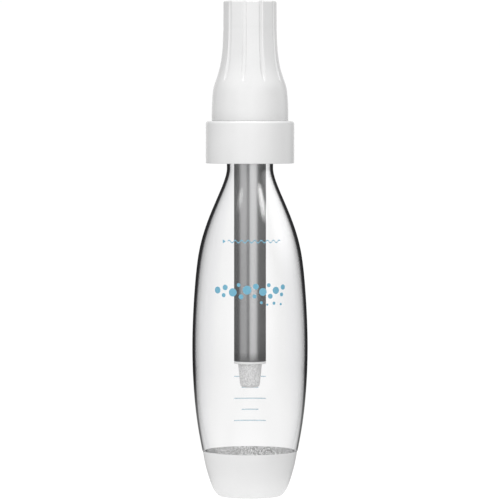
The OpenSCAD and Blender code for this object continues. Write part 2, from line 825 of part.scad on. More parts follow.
// White shell of the collar, with a pair of ribs beside each key of the nut
module collar_shell() {
    edge = [collar_r - collar_edge_r, collar_top_z - collar_edge_r];
    rib_z = collar_z + collar_wall;
    rib_reach = collar_bore_r - nut_r - run_gap + collar_wall / 2;
    color("#f0f0f0") {
        rotate_extrude()
            polygon(concat([[hole_r, nut_top_z],
                            [collar_bore_r, nut_top_z],
                            [collar_bore_r, collar_z],
                            [collar_r, collar_z]],
                           arc(edge, collar_edge_r, 0, 90),
                           [[hole_r, collar_top_z]]));
        around(key_count)
            for (side = [-1, 1])
                translate([nut_r + run_gap, side * (key_w + rib_t + run_gap) / 2 - rib_t / 2, rib_z])
                    cube([rib_reach, rib_t, nut_top_z - rib_z + collar_top_t / 2]);
    }
}

// Threaded nut of the collar, with keys that sit between the shell's ribs
module collar_nut() {
    key_z = nut_z + collar_wall;
    key_reach = collar_bore_r - fit_gap * 2 - nut_r;
    color("#e4e4e2") {
        difference() {
            translate([0, 0, nut_z])
                cylinder(h = nut_top_z - nut_z, r = nut_r);
            translate([0, 0, nut_z - overrun])
                cylinder(h = nut_under_top_z - nut_z + overrun, r = nut_bore_r);
            translate([0, 0, nut_z])
                cylinder(h = nut_top_z - nut_z + overrun, r = hole_r);
        }
        around(key_count)
            translate([nut_r - nut_wall / 2, -key_w / 2, key_z])
                cube([key_reach + nut_wall / 2, key_w, nut_top_z - key_z]);
        translate([0, 0, neck_thread_z + neck_pitch / 2])
            ridges(nut_bore_r, neck_r + run_gap, neck_pitch, nut_turns);
    }
}

// Steel charger: round end up, neck down
module charger() {
    inner_r = charger_r - charger_wall;
    neck_inner_r = charger_neck_r - charger_wall;
    round_z = charger_top_z - charger_r;
    color("#7d9e2c")
    rotate_extrude()
        polygon(concat([[neck_inner_r, tip_z],
                        [charger_neck_r, tip_z],
                        [charger_neck_r, shoulder_z],
                        [charger_r, charger_body_z]],
                       arc([0, round_z], charger_r, 0, 90, curve_steps),
                       arc([0, round_z], inner_r, 90, 0, curve_steps),
                       [[inner_r, charger_body_z + charger_wall],
                        [neck_inner_r, shoulder_z + charger_wall]]));
}

// Sealing cap in the charger's neck, with the hole that the pin has made
module charger_cap() {
    color("#b9bdc2")
    translate([0, 0, tip_z + charger_cap_t])
        ring(charger_neck_r - charger_wall - fit_gap / 2, pin_r + run_gap, charger_cap_t);
}

// Cutter of one groove: its floor follows the bell's side, and its lower end is half round
module groove() {
    low_z = bell_z + groove_end_lift;
    span = bell_top_z - bell_edge_r - low_z;
    out_r = bell_foot_d / 2 + overrun;
    low_r = bell_r_at(low_z) - groove_end_depth;
    floor_points = [for (s = groove_shares)
        let (z = low_z + span * s,
             depth = groove_end_depth + (groove_depth - groove_end_depth) * s)
        [bell_r_at(z) - depth, z]];
    rotate([90, 0, 0])
        translate([0, 0, -groove_w / 2])
            linear_extrude(height = groove_w)
                polygon(concat(floor_points,
                               [[bell_top_d / 2 - groove_depth, bell_top_z + overrun],
                                [out_r, bell_top_z + overrun],
                                [out_r, low_z]]));
    translate([low_r, 0, low_z])
        rotate([0, 90, 0])
            cylinder(h = out_r - low_r, d = groove_w);
}

// White bell that holds the charger: grip grooves outside, ribs for the sleeve inside
module holder_shell() {
    top_r = bell_top_d / 2;
    foot_r = bell_foot_d / 2;
    edge = [top_r - bell_edge_r, bell_top_z - bell_edge_r];
    outside = between(bell_side(0), bell_z, bell_top_z - bell_edge_r);
    inside = between(bell_side(bell_wall), bell_z, bell_ceiling_z);
    color("#f2f2f2") {
        difference() {
            rotate_extrude()
                polygon(concat([[0, bell_z], [foot_r, bell_z]],
                               outside,
                               arc(edge, bell_edge_r, 0, 90),
                               [[0, bell_top_z]]));
            rotate_extrude()
                polygon(concat([[0, bell_z - overrun], [foot_r - bell_wall, bell_z - overrun]],
                               inside,
                               [[top_r - bell_wall, bell_ceiling_z], [0, bell_ceiling_z]]));
            rotate([0, 0, groove_turn])
                around(groove_count)
                    groove();
        }
        difference() {
            around(bell_rib_count)
                bell_rib();
            translate([0, 0, sleeve_z - overrun])
                cylinder(h = skirt_top_z + overrun - sleeve_z, r = skirt_r + fit_gap);
            translate([0, 0, skirt_top_z])
                cylinder(h = sleeve_neck_z - skirt_top_z, r1 = skirt_r + fit_gap, r2 = sleeve_r + fit_gap);
            translate([0, 0, skirt_top_z])
                cylinder(h = bell_ceiling_z - skirt_top_z, r = sleeve_r + fit_gap);
        }
    }
}

// One rib of the bell, from the sleeve out into the wall
module bell_rib() {
    low_z = sleeve_z + rib_t;
    high_z = bell_ceiling_z + bell_top_t / 2;
    sink = bell_wall / 2;
    rotate([90, 0, 0])
        translate([0, 0, -rib_t / 2])
            linear_extrude(height = rib_t)
                polygon(concat([[0, low_z], [bell_r_at(low_z) - sink, low_z]],
                               between(bell_side(sink), low_z, high_z),
                               [[bell_top_d / 2 - sink, high_z], [0, high_z]]));
}

// Aluminium sleeve: threaded skirt below, smooth tube round the charger above
module holder_sleeve() {
    color("#a9adb0") {
        rotate_extrude()
            polygon([[skirt_bore_r, sleeve_z],
                     [skirt_r, sleeve_z],
                     [skirt_r, skirt_top_z],
                     [sleeve_r, sleeve_neck_z],
                     [sleeve_r, bell_ceiling_z],
                     [sleeve_bore_r, bell_ceiling_z],
                     [sleeve_bore_r, sleeve_neck_z - sleeve_wall / 2],
                     [skirt_bore_r, skirt_top_z - sleeve_wall / 2]]);
        translate([0, 0, bell_thread_z + bell_pitch / 2])
            ridges(skirt_bore_r, stem_r + run_gap, bell_pitch, sleeve_turns);
    }
}

// Rubber pad between the charger's round end and the bell's top
module holder_pad() {
    color("#8f9499")
    translate([0, 0, pad_z])
        cylinder(h = pad_t, r = sleeve_bore_r - fit_gap);
}

bottle();
base_cup();
head_core();
neck_gasket();
thrust_washer();
core_circlip();
tube_o_rings();
pin_carrier();
piercing_pin();
charger_seal();
gas_filter();
check_seat();
check_cage();
relief_cap();
gas_tube();
tube_end_plug();
plug_o_ring();
diffuser();
collar_shell();
collar_nut();
charger();
charger_cap();
holder_shell();
holder_sleeve();
holder_pad();
check_ball();
check_spring();
relief_poppet();
relief_seal();
relief_spring();
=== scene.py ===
"""Looks of a portable soda siphon, dressed around its packed construction.

Each sub-assembly is a class that holds its sizes in millimetres, builds its meshes in metres and gives
them their finishes. +Z is up, and the camera looks along +Y.
"""

import json
import logging
import math
from collections.abc import Callable, Sequence
from dataclasses import dataclass
from enum import Enum
from functools import partial
from typing import ClassVar

import bmesh
import bpy
from bmesh.types import BMesh, BMFace, BMVert
from bpy.types import Material, Node, NodeSocket, NodeTree, Object
from mathutils import Matrix, Vector

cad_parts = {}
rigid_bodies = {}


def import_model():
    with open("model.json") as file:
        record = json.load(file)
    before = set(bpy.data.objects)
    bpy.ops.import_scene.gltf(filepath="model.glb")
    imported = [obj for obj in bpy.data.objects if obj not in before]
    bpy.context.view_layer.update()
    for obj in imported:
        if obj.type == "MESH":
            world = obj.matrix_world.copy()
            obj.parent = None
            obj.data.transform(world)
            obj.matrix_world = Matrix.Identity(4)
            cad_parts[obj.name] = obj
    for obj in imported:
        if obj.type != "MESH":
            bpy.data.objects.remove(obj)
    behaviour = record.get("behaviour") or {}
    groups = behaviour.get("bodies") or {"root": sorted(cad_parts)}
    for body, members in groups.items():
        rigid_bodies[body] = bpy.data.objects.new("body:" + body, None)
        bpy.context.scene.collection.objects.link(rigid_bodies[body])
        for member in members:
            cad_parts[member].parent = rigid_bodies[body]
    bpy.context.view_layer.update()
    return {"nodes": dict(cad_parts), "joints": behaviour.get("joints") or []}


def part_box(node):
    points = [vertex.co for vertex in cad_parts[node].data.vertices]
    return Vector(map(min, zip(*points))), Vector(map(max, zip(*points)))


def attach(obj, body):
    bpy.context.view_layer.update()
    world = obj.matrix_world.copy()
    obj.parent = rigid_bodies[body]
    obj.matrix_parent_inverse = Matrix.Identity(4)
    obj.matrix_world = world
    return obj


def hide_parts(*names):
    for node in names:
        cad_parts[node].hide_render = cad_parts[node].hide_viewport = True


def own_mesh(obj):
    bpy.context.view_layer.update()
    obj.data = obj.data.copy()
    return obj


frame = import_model()
LOG = logging.getLogger("siphon")

MM = 0.001
AXIS = Vector((0, 0, 1))
WHITE = (1, 1, 1, 1)
MERGE_DISTANCE = 0.002 * MM
SECTORS = 10

Span = tuple[float, float]
Triple = tuple[float, float, float]
Outline = list[Span]
Shares = tuple[Span, ...]
Lamps = tuple[tuple[float, float, float, float, float], ...]
Source = Node | NodeSocket


def linear(hex_colour: str) -> tuple[float, float, float, float]:
    """Turn an sRGB hex value into a linear colour.

    Args:
        hex_colour: six hex digits, such as "F2F2F0".

    Returns:
        Red, green, blue and an alpha of 1.
    """
    shares = [int(hex_colour[i:i + 2], 16) / 255 for i in (0, 2, 4)]
    return (*[share / 12.92 if share <= 0.04045 else ((share + 0.055) / 1.055) ** 2.4
              for share in shares], 1.0)


def add_node(tree: NodeTree, kind: str, inputs: dict | None = None, **settings: object) -> Node:
    """Add a node with its settings and links.

    Args:
        tree: the node tree.
        kind: the node's type without "ShaderNode", such as "Math".
        inputs: what goes into its sockets, by their name or number: a value, or a link from a socket or
            from a node's first one.
        settings: the node's own attributes, such as its operation.

    Returns:
        The new node.
    """
    node = tree.nodes.new(f"ShaderNode{kind}")
    for name, value in settings.items():
        setattr(node, name, value)
    for name, value in (inputs or {}).items():
        if isinstance(value, Source):
            tree.links.new(value.outputs[0] if isinstance(value, Node) else value, node.inputs[name])
        else:
            node.inputs[name].default_value = value
    return node


def smooth(points: Sequence[Span], steps: int = 8) -> Outline:
    """Points on a smooth curve drawn by control points, from the first of them to the last.

    Args:
        points: control points; the ends are met, the others are rounded off.
        steps: points for each stretch between two control points.

    Returns:
        The curve's points.
    """
    first = tuple(2 * a - b for a, b in zip(points[0], points[1]))
    last = tuple(2 * a - b for a, b in zip(points[-1], points[-2]))
    hull = [first, *points, last]
    made: Outline = []
    for i in range(len(points) - 1):
        for j in range(steps):
            run = j / steps
            rest = 1 - run
            weights = (rest ** 3, 3 * run ** 3 - 6 * run ** 2 + 4,
                       3 * rest ** 3 - 6 * rest ** 2 + 4, run ** 3)
            made.append(tuple(sum(weight * hull[i + k][axis] for k, weight in enumerate(weights)) / 6
                              for axis in (0, 1)))
    return [*made, tuple(points[-1])]


def cubic(start: Vector, leave: Vector, arrive: Vector, end: Vector, steps: int = 20) -> Outline:
    """Points on a cubic curve from start to end, with handles at leave and arrive.

    Args:
        start: the first point.
        leave: the handle that belongs to it.
        arrive: the handle that belongs to the last point.
        end: the last point.
        steps: stretches between them.

    Returns:
        The curve's points.
    """
    made: Outline = []
    for i in range(steps + 1):
        run = i / steps
        rest = 1 - run
        point = (rest ** 3 * start + 3 * rest * rest * run * leave + 3 * rest * run * run * arrive
                 + run ** 3 * end)
        made.append((point.x, point.y))
    return made


def arc(centre: Span, radius: float, start: float, end: float, steps: int = 6) -> Outline:
    """Points on an arc round the centre, from one angle to another, in degrees."""
    angles = [math.radians(start + (end - start) * i / steps) for i in range(steps + 1)]
    return [(centre[0] + radius * math.cos(angle), centre[1] + radius * math.sin(angle)) for angle in angles]


def spin_outline(bm: BMesh, outline: Outline, steps: int, closed: bool = True) -> None:
    """Turn an outline of radius and height round the axis into a skin, one sector after the other.

    Args:
        bm: the mesh that the skin goes into.
        outline: points in millimetres.
        steps: faces round the axis, a multiple of the number of sectors.
        closed: joins the last point to the first.
    """
    part = bmesh.new()
    points = [part.verts.new((r * MM, 0, z * MM)) for r, z in outline]
    pairs = list(zip(points, points[1:])) + ([(points[-1], points[0])] if closed else [])
    edges = [part.edges.new(pair) for pair in pairs]
    bmesh.ops.spin(part, geom=[*points, *edges], cent=(0, 0, 0), axis=AXIS, angle=math.tau / SECTORS,
                   steps=steps // SECTORS, use_duplicate=False)
    sector = [*part.verts, *part.edges, *part.faces]
    for i in range(1, SECTORS):
        copy = bmesh.ops.duplicate(part, geom=sector)["geom"]
        bmesh.ops.rotate(part, verts=[v for v in copy if isinstance(v, BMVert)], cent=(0, 0, 0),
                         matrix=Matrix.Rotation(math.tau * i / SECTORS, 3, "Z"))
    bmesh.ops.remove_doubles(part, verts=part.verts[:], dist=MERGE_DISTANCE)
    mesh = bpy.data.meshes.new("skin")
    part.to_mesh(mesh)
    part.free()
    bm.from_mesh(mesh)
    bpy.data.meshes.remove(mesh)


def add_box(bm: BMesh, x: Span, y: Span, z: Span, turn: float = 0.0) -> None:
    """Add a box between two values on each axis, in millimetres, turned round the siphon's axis.

    Args:
        bm: the mesh that it goes into.
        x: the two values on the X axis.
        y: the two values on the Y axis.
        z: the two values on the Z axis.
        turn: the turn, in radians.
    """
    middle = Vector([sum(span) / 2 * MM for span in (x, y, z)])
    size = [(high - low) * MM for low, high in (x, y, z)]
    place = Matrix.Rotation(turn, 4, "Z") @ Matrix.Translation(middle) @ Matrix.Diagonal((*size, 1))
    bmesh.ops.create_cube(bm, size=1, matrix=place)


def looks_at(face: BMFace, z: float, margin: float = 0.0) -> bool:
    """Whether a face looks at the axis at a height, which lies before the face by over a margin."""
    return face.normal.dot(face.calc_center_median() - AXIS * z * MM) < -margin * MM


def finish_mesh(name: str, bm: BMesh, materials: Sequence[Material], sharp_deg: float = 38,
                inside: Callable[[BMFace], bool] | None = None, closed: bool = True) -> Object:
    """Make a smooth-shaded object of a mesh.

    Args:
        name: the piece's name.
        bm: the mesh, which is freed.
        materials: the object's material slots.
        sharp_deg: edges that turn by more than this stay sharp.
        inside: tells which faces get the second material slot.
        closed: the mesh is a closed solid, whose normals are turned outwards.

    Returns:
        The object, in the scene.
    """
    if closed:
        bmesh.ops.recalc_face_normals(bm, faces=bm.faces[:])
    bm.normal_update()
    for face in bm.faces:
        face.smooth = True
        face.material_index = int(inside(face)) if inside else 0
    mesh = bpy.data.meshes.new(name)
    bm.to_mesh(mesh)
    bm.free()
    mesh.set_sharp_from_angle(angle=math.radians(sharp_deg))
    for material in materials:
        mesh.materials.append(material)
    obj = bpy.data.objects.new(name, mesh)
    bpy.context.scene.collection.objects.link(obj)
    return obj


def dress(obj: Object, body: str, slot: str, *nodes: str) -> None:
    """Let a piece ride on its body, in place of CAD nodes, and report it.

    Args:
        obj: the piece.
        body: the body that it rides on.
        slot: the record's material slot; not used.
        nodes: the CAD nodes that it stands for.
    """
    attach(obj, body)
    if nodes:
        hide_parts(*nodes)
    LOG.info("%s: %d faces on %s", obj.name, len(obj.data.polygons), body)


def new_material(name: str) -> tuple[Material, NodeTree]:
    """A material with an empty node tree.

    Args:
        name: the material's name.

    Returns:
        The material and its tree.
    """
    material = bpy.data.materials.new(name)
    material.use_nodes = True
    material.node_tree.nodes.clear()
    return material, material.node_tree


def object_coordinates(tree: NodeTree, stretch: Triple = (1, 1, 1)) -> Source:
    """The point on the piece, in metres, stretched by a factor along each axis."""
    point = add_node(tree, "TexCoord").outputs["Object"]
    return point if stretch == (1, 1, 1) else add_node(tree, "Mapping", {"Vector": point, "Scale": stretch})


def across_axis(tree: NodeTree, vector: Source) -> Source:
    """The length of the part of a vector that lies across the siphon's axis."""
    flat = add_node(tree, "VectorMath", {0: vector, 1: (1, 1, 0)}, operation="MULTIPLY")
    return add_node(tree, "VectorMath", {0: flat}, operation="LENGTH").outputs["Value"]


def by_height(tree: NodeTree, span: Span, start: float, end: float, curve: str = "LINEAR") -> Source:
    """A value that goes from start to end as the height goes through a span in millimetres."""
    z = add_node(tree, "SeparateXYZ", {0: object_coordinates(tree)}).outputs[2]
    return add_node(tree, "MapRange", {
        "Value": z, "From Min": span[0] * MM, "From Max": span[1] * MM, "To Min": start, "To Max": end},
        interpolation_type=curve)


def grain(tree: NodeTree, size: float, detail: float = 2.0, stretch: Triple = (1, 1, 1)) -> Source:
    """Noise whose lumps are a size in millimetres, as a value from 0 to 1."""
    return add_node(tree, "TexNoise", {
        "Vector": object_coordinates(tree, stretch), "Scale": 1 / (size * MM), "Detail": detail})


def vary(tree: NodeTree, noise: Source, low: float, high: float, spread: float = 0.2) -> Source:
    """A value from low to high, as noise goes from a spread below 0.5 to a spread above it."""
    return add_node(tree, "MapRange", {
        "Value": noise, "From Min": 0.5 - spread, "From Max": 0.5 + spread, "To Min": low, "To Max": high})


def tint(tree: NodeTree, noise: Source, dark: str, light: str, spread: float = 0.2) -> Source:
    """A colour between two hex colours, by noise."""
    return add_node(tree, "Mix", {
        "Factor": vary(tree, noise, 0, 1, spread), 6: linear(dark), 7: linear(light)},
        data_type="RGBA").outputs[2]


def fill_ramp(ramp: Node, stops: Sequence[tuple[float, Sequence[float]]]) -> None:
    """Give a colour ramp its stops, each a position from 0 to 1 and a linear colour.

    Args:
        ramp: the ramp's node.
        stops: the stops, in order.
    """
    elements = ramp.color_ramp.elements
    for i, (position, colour) in enumerate(stops):
        element = elements[i] if i < len(elements) else elements.new(1.0)
        element.position = position
        element.color = colour


def lay_surface(tree: NodeTree, noise: Source, roughness: Span, inputs: dict, depth: float = 0.0,
                height: Source | None = None) -> None:
    """Lay a surface on a piece, with a roughness and a relief that follow noise.

    Args:
        tree: the material's node tree.
        noise: the noise, from 0 to 1.
        roughness: the least and the most roughness.
        inputs: what goes into the shader's other sockets.
        depth: the relief's depth in millimetres, or 0 for none.
        height: the relief's height from 0 to 1, where it isn't the noise.
    """
    relief = {}
    if depth:
        relief["Normal"] = add_node(tree, "Bump", {
            "Strength": 1.0, "Distance": depth * MM, "Height": noise if height is None else height})
    shader = add_node(tree, "BsdfPrincipled", {
        **inputs, **relief, "Roughness": vary(tree, noise, *roughness)})
    add_node(tree, "OutputMaterial", {"Surface": shader})


@dataclass(frozen=True)
class MouldedAbs:
    """White ABS, injection moulded: a soft gloss over a very fine even grain, and painted shade at a hem if
    asked.
    """

    name: str = "white_moulded_abs"
    light: str = "F7F7F7"
    dark: str = "F4F4F4"
    roughness: Span = (0.22, 0.28)
    grain_mm: float = 0.5
    depth_mm: float = 0.004
    tone_mm: float = 20.0
    ledge_shade_z: Span = (-2.0, -1.0)
    ledge_shade: float = 0.15

    def build(self) -> Material:
        """The material. Its painted shade at the hem darkens with the square of the way down."""
        material, tree = new_material(self.name)
        # painted shade: the colour darkens towards the bottom of a span of heights, standing in for shade
        # from a ledge below
        near = by_height(tree, self.ledge_shade_z, 1.0, 0.0)
        squared = add_node(tree, "Math", {0: near, 1: 2.0}, operation="POWER")
        shade = add_node(tree, "MapRange", {"Value": squared, "To Min": 1.0, "To Max": 1 - self.ledge_shade})
        plain = tint(tree, grain(tree, self.tone_mm), self.dark, self.light)
        colour = add_node(tree, "Mix", {"Factor": 1.0, 6: plain, 7: shade}, data_type="RGBA",
                          blend_type="MULTIPLY").outputs[2]
        lay_surface(tree, grain(tree, self.grain_mm), self.roughness, {"IOR": 1.53, "Base Color": colour},
                    self.depth_mm)
        return material


@dataclass(frozen=True)
class GrainedFinish:
    """A finish whose colour, roughness and relief follow one noise, such as fibres, lines or a bloom.

    Without a dark hex colour it has the light one all over. Its cover is how far it hides from the eye
    what lies under it.
    """

    name: str
    light: str
    dark: str = ""
    cover: float = 1.0
    roughness: Span = (0.5, 0.6)
    grain_mm: float = 0.5
    detail: float = 4.0
    stretch: Triple = (1, 1, 1)
    depth_mm: float = 0.0
    values: ClassVar[dict] = {}

    def build(self) -> Material:
        """The material."""
        material, tree = new_material(self.name)
        noise = grain(tree, self.grain_mm, self.detail, self.stretch)
        colour = tint(tree, noise, self.dark, self.light) if self.dark else linear(self.light)
        inputs = {"Base Color": colour, **self.values}
        if self.cover < 1:
            seen = add_node(tree, "LightPath").outputs["Is Camera Ray"]
            inputs["Alpha"] = add_node(tree, "Math", {0: seen, 1: self.cover}, operation="MULTIPLY")
        lay_surface(tree, noise, self.roughness, inputs, self.depth_mm)
        return material


@dataclass(frozen=True)
class MouldedNylon(GrainedFinish):
    """Glass filled nylon, moulded: matt, with short pale fibres near the surface."""

    roughness: Span = (0.5, 0.62)
    grain_mm: float = 0.6
    stretch: Triple = (1, 1, 0.25)
    depth_mm: float = 0.01
    values: ClassVar[dict] = {"IOR": 1.53}


@dataclass(frozen=True)
class MouldedRubber(GrainedFinish):
    """Rubber or silicone, moulded: dull, with a faint bloom."""

    roughness: Span = (0.55, 0.75)
    grain_mm: float = 1.5
    depth_mm: float = 0.01
    values: ClassVar[dict] = {"IOR": 1.45, "Sheen Weight": 0.1}


@dataclass(frozen=True)
class SatinAluminium(GrainedFinish):
    """Aluminium, drawn, satin anodised: broad soft reflections and faint lines along the drawing."""

    roughness: Span = (0.18, 0.23)
    grain_mm: float = 0.35
    detail: float = 3.0
    stretch: Triple = (1, 1, 0.01)
    depth_mm: float = 0.001
    values: ClassVar[dict] = {"Metallic": 1.0}


@dataclass(frozen=True)
class TurnedMetal(GrainedFinish):
    """Metal turned on a lathe: bright, with fine rings round the axis."""

    roughness: Span = (0.2, 0.32)
    grain_mm: float = 0.25
    detail: float = 1.0
    stretch: Triple = (0.02, 0.02, 1)
    depth_mm: float = 0.003
    values: ClassVar[dict] = {"Metallic": 1.0}


@dataclass(frozen=True)
class ClearLacquer(GrainedFinish):
    """Steel under a clear green lacquer: a tinted metal with a hard glossy coat."""

    name: str = "green_lacquered_steel"
    light: str = "8FB52A"
    dark: str = "5F8419"
    roughness: Span = (0.3, 0.4)
    detail: float = 3.0
    stretch: Triple = (1, 1, 0.05)
    values: ClassVar[dict] = {"Metallic": 0.85, "Coat Weight": 1.0, "Coat Roughness": 0.08}


@dataclass(frozen=True)
class ScreenInk(GrainedFinish):
    """Screen printed ink: thin, matt and slightly see-through, with a fine mesh mark."""

    roughness: Span = (0.45, 0.6)
    grain_mm: float = 0.25
    detail: float = 2.0
    values: ClassVar[dict] = {"IOR": 1.5}


class Side(Enum):
    """Which side of the clear wall a finish is for."""

    OUTER = "outer"
    INNER = "inner"


@dataclass(frozen=True)
class ClearPolyester:
    """Clear PET, blow moulded: see-through and glossy, with painted shade where one looks along the wall.

    Light that meets the side nearer to its edge than the wall is thick is turned back inside the wall, so
    a band of that width looks dark, and the tone rises again in the first few millimetres beside it. The
    band and the tones beside it are painted shade: a see-through tint that follows the angle of view and
    height.
    """

    side: Side
    wall_mm: float = 1.75
    ior: float = 1.57
    roughness: float = 0.03
    # painted shade: the colour of the dark band along the edge, and the tones beside it by millimetres from
    # the edge
    edge: str = "2A2A2B"
    low_edge: str = "6A6A6B"
    low_edge_z: Span = (55.0, 118.0)
    shade_tones: tuple[tuple[float, str], ...] = (
        (2.65, "9C9C9D"), (3.3, "BABABB"), (4.9, "D4D4D5"), (6.3, "DEDEDF"), (9.2, "E8E8E9"),
        (13.0, "EDEDEE"), (18.0, "F2F2F2"), (25.0, "F5F5F5"), (34.0, "F8F8F8"), (54.0, "F8F8F8"),
        (68.0, "FDFDFD"))
    ramp_mm: float = 70.0
    least_upright: float = 0.1
    reach_mm: float = 44.0
    narrowing: float = 1.3
    open_walls: Span = (0.6, 2.5)
    inner_gloss: float = 0.15
    thin_z: Span = (34.0, 95.0)
    thin_factor: float = 2.05
    thick_z: Span = (140.0, 190.0)
    thick_factor: float = 0.82

    def build(self) -> Material:
        """The material: outside the whole wall's painted shade and gloss, inside a weak gloss alone."""
        material, tree = new_material(f"clear_polyester_{self.side.value}")
        clear = add_node(tree, "BsdfTransparent", {"Color": WHITE})
        gloss = add_node(tree, "BsdfGlossy", {"Color": WHITE, "Roughness": self.roughness})
        if self.side is Side.INNER:
            share = self.mirror_share(tree, self.inner_gloss)
            shader = add_node(tree, "MixShader", {0: share, 1: clear, 2: gloss})
        else:
            seen = add_node(tree, "LightPath").outputs["Is Camera Ray"]
            shader = add_node(tree, "MixShader", {0: seen, 1: clear, 2: self.outer_wall(tree, gloss)})
        add_node(tree, "OutputMaterial", {"Surface": shader})
        return material

    def outer_wall(self, tree: NodeTree, gloss: Node) -> Node:
        """The wall as the eye sees it: its painted shade, and on the near side a gloss that ends at the dark
        band.

        Args:
            tree: the material's node tree.
            gloss: the shader of the gloss.

        Returns:
            The shader.
        """
        depth = self.depth_from_edge(tree)
        # painted shade: a see-through tint, dark in the band along the visible edge
        shaded_wall = add_node(tree, "BsdfTransparent", {"Color": self.tone(tree, depth)})
        behind = add_node(tree, "NewGeometry").outputs["Backfacing"]
        front = add_node(tree, "Math", {0: 1.0, 1: behind}, operation="SUBTRACT")
        opened = add_node(tree, "MapRange", {
            "Value": depth, "From Min": self.wall_mm * self.open_walls[0],
            "From Max": self.wall_mm * self.open_walls[1], "To Max": front})
        mirror = add_node(tree, "Math", {0: self.mirror_share(tree, 1.0), 1: opened}, operation="MULTIPLY")
        return add_node(tree, "MixShader", {0: mirror, 1: shaded_wall, 2: gloss})

    def mirror_share(self, tree: NodeTree, most: float) -> Node:
        """The share of light that is mirrored, by Schlick's formula, with most of it at the edge.

        Args:
            tree: the material's node tree.
            most: the share at the edge.

        Returns:
            The node that gives it.
        """
        facing = add_node(tree, "LayerWeight", {"Blend": 0.5}).outputs["Facing"]
        grazing = add_node(tree, "Math", {0: facing, 1: 5.0}, operation="POWER")
        least = ((self.ior - 1) / (self.ior + 1)) ** 2
        return add_node(tree, "MapRange", {"Value": grazing, "To Min": least * most, "To Max": most})

    def depth_from_edge(self, tree: NodeTree) -> Node:
        """How far a point lies inside the bottle's visible edge, in millimetres.

        Args:
            tree: the material's node tree.

        Returns:
            The node that gives it: the radius times one less the sine of the angle round the axis, with a
            factor for the height. Beyond the wall it grows faster where the bottle is narrower.
        """
        radius = across_axis(tree, object_coordinates(tree))
        upright = across_axis(tree, add_node(tree, "NewGeometry").outputs["Normal"])
        facing = add_node(tree, "LayerWeight", {"Blend": 0.5}).outputs["Facing"]
        seen = add_node(tree, "Math", {0: 1.0, 1: facing}, operation="SUBTRACT")
        steep = add_node(tree, "Math", {0: upright, 1: self.least_upright}, operation="MAXIMUM")
        towards = add_node(tree, "Math", {0: seen, 1: steep}, operation="DIVIDE", use_clamp=True)
        angle = add_node(tree, "Math", {0: towards}, operation="ARCCOSINE")
        across = add_node(tree, "Math", {0: angle}, operation="SINE")
        depth = add_node(tree, "Math", {0: 1.0, 1: across}, operation="SUBTRACT")
        thinning = by_height(tree, self.thin_z, self.thin_factor / MM, 1 / MM)
        thickening = by_height(tree, self.thick_z, 1.0, self.thick_factor)
        for factor in (radius, thinning, thickening):
            depth = add_node(tree, "Math", {0: depth, 1: factor}, operation="MULTIPLY")
        slender = add_node(tree, "Math", {0: self.reach_mm * MM, 1: radius}, operation="DIVIDE")
        growth = add_node(tree, "Math", {0: slender, 1: self.narrowing}, operation="POWER")
        in_wall = add_node(tree, "Math", {0: depth, 1: self.wall_mm}, operation="MINIMUM")
        beyond = add_node(tree, "Math", {0: depth, 1: in_wall}, operation="SUBTRACT")
        return add_node(tree, "Math", {0: beyond, 1: growth, 2: in_wall}, operation="MULTIPLY_ADD")

    def tone(self, tree: NodeTree, depth: Source) -> Source:
        """The painted shade, as the colour that the near and the far wall each let through, at a depth from
        the edge.

        Args:
            tree: the material's node tree.
            depth: the depth in millimetres.

        Returns:
            The colour. Each wall takes the square root of the tone, as one looks through both.
        """
        ramp = add_node(tree, "ValToRGB", {
            0: add_node(tree, "Math", {0: depth, 1: self.ramp_mm}, operation="DIVIDE")})
        fill_ramp(ramp, [(millimetres / self.ramp_mm, [math.sqrt(c) for c in linear(colour)])
                         for millimetres, colour in ((self.wall_mm, self.edge), *self.shade_tones)])
        # painted shade: the dark band is lighter lower down the bottle
        low = by_height(tree, self.low_edge_z, math.sqrt(linear(self.low_edge)[0]), 0.0, "SMOOTHSTEP")
        return add_node(tree, "Mix", {"Factor": 1.0, 6: ramp, 7: low}, data_type="RGBA",
                        blend_type="LIGHTEN").outputs[2]


@dataclass(frozen=True)
class SinteredGrains:
    """Grains sintered into a porous wall: matt and pale, with dark pores between the grains."""

    name: str
    light: str
    dark: str
    grain_mm: float
    depth_mm: float
    spread: float = 0.2
    metallic: float = 0.0
    roughness: Span = (0.75, 0.95)

    def build(self) -> Material:
        """The material. Its grains are two or three times as coarse as real ones, so that they show."""
        material, tree = new_material(self.name)
        cells = add_node(tree, "TexVoronoi", {
            "Vector": object_coordinates(tree), "Scale": 1 / (self.grain_mm * MM)}).outputs["Distance"]
        lumps = add_node(tree, "Math", {0: 1.0, 1: cells}, operation="SUBTRACT")
        speckle = grain(tree, self.grain_mm, detail=3.0)
        colour = tint(tree, speckle, self.dark, self.light, self.spread)
        lay_surface(tree, speckle, self.roughness, {
            "Metallic": self.metallic, "IOR": 1.51, "Base Color": colour}, self.depth_mm, lumps)
        return material


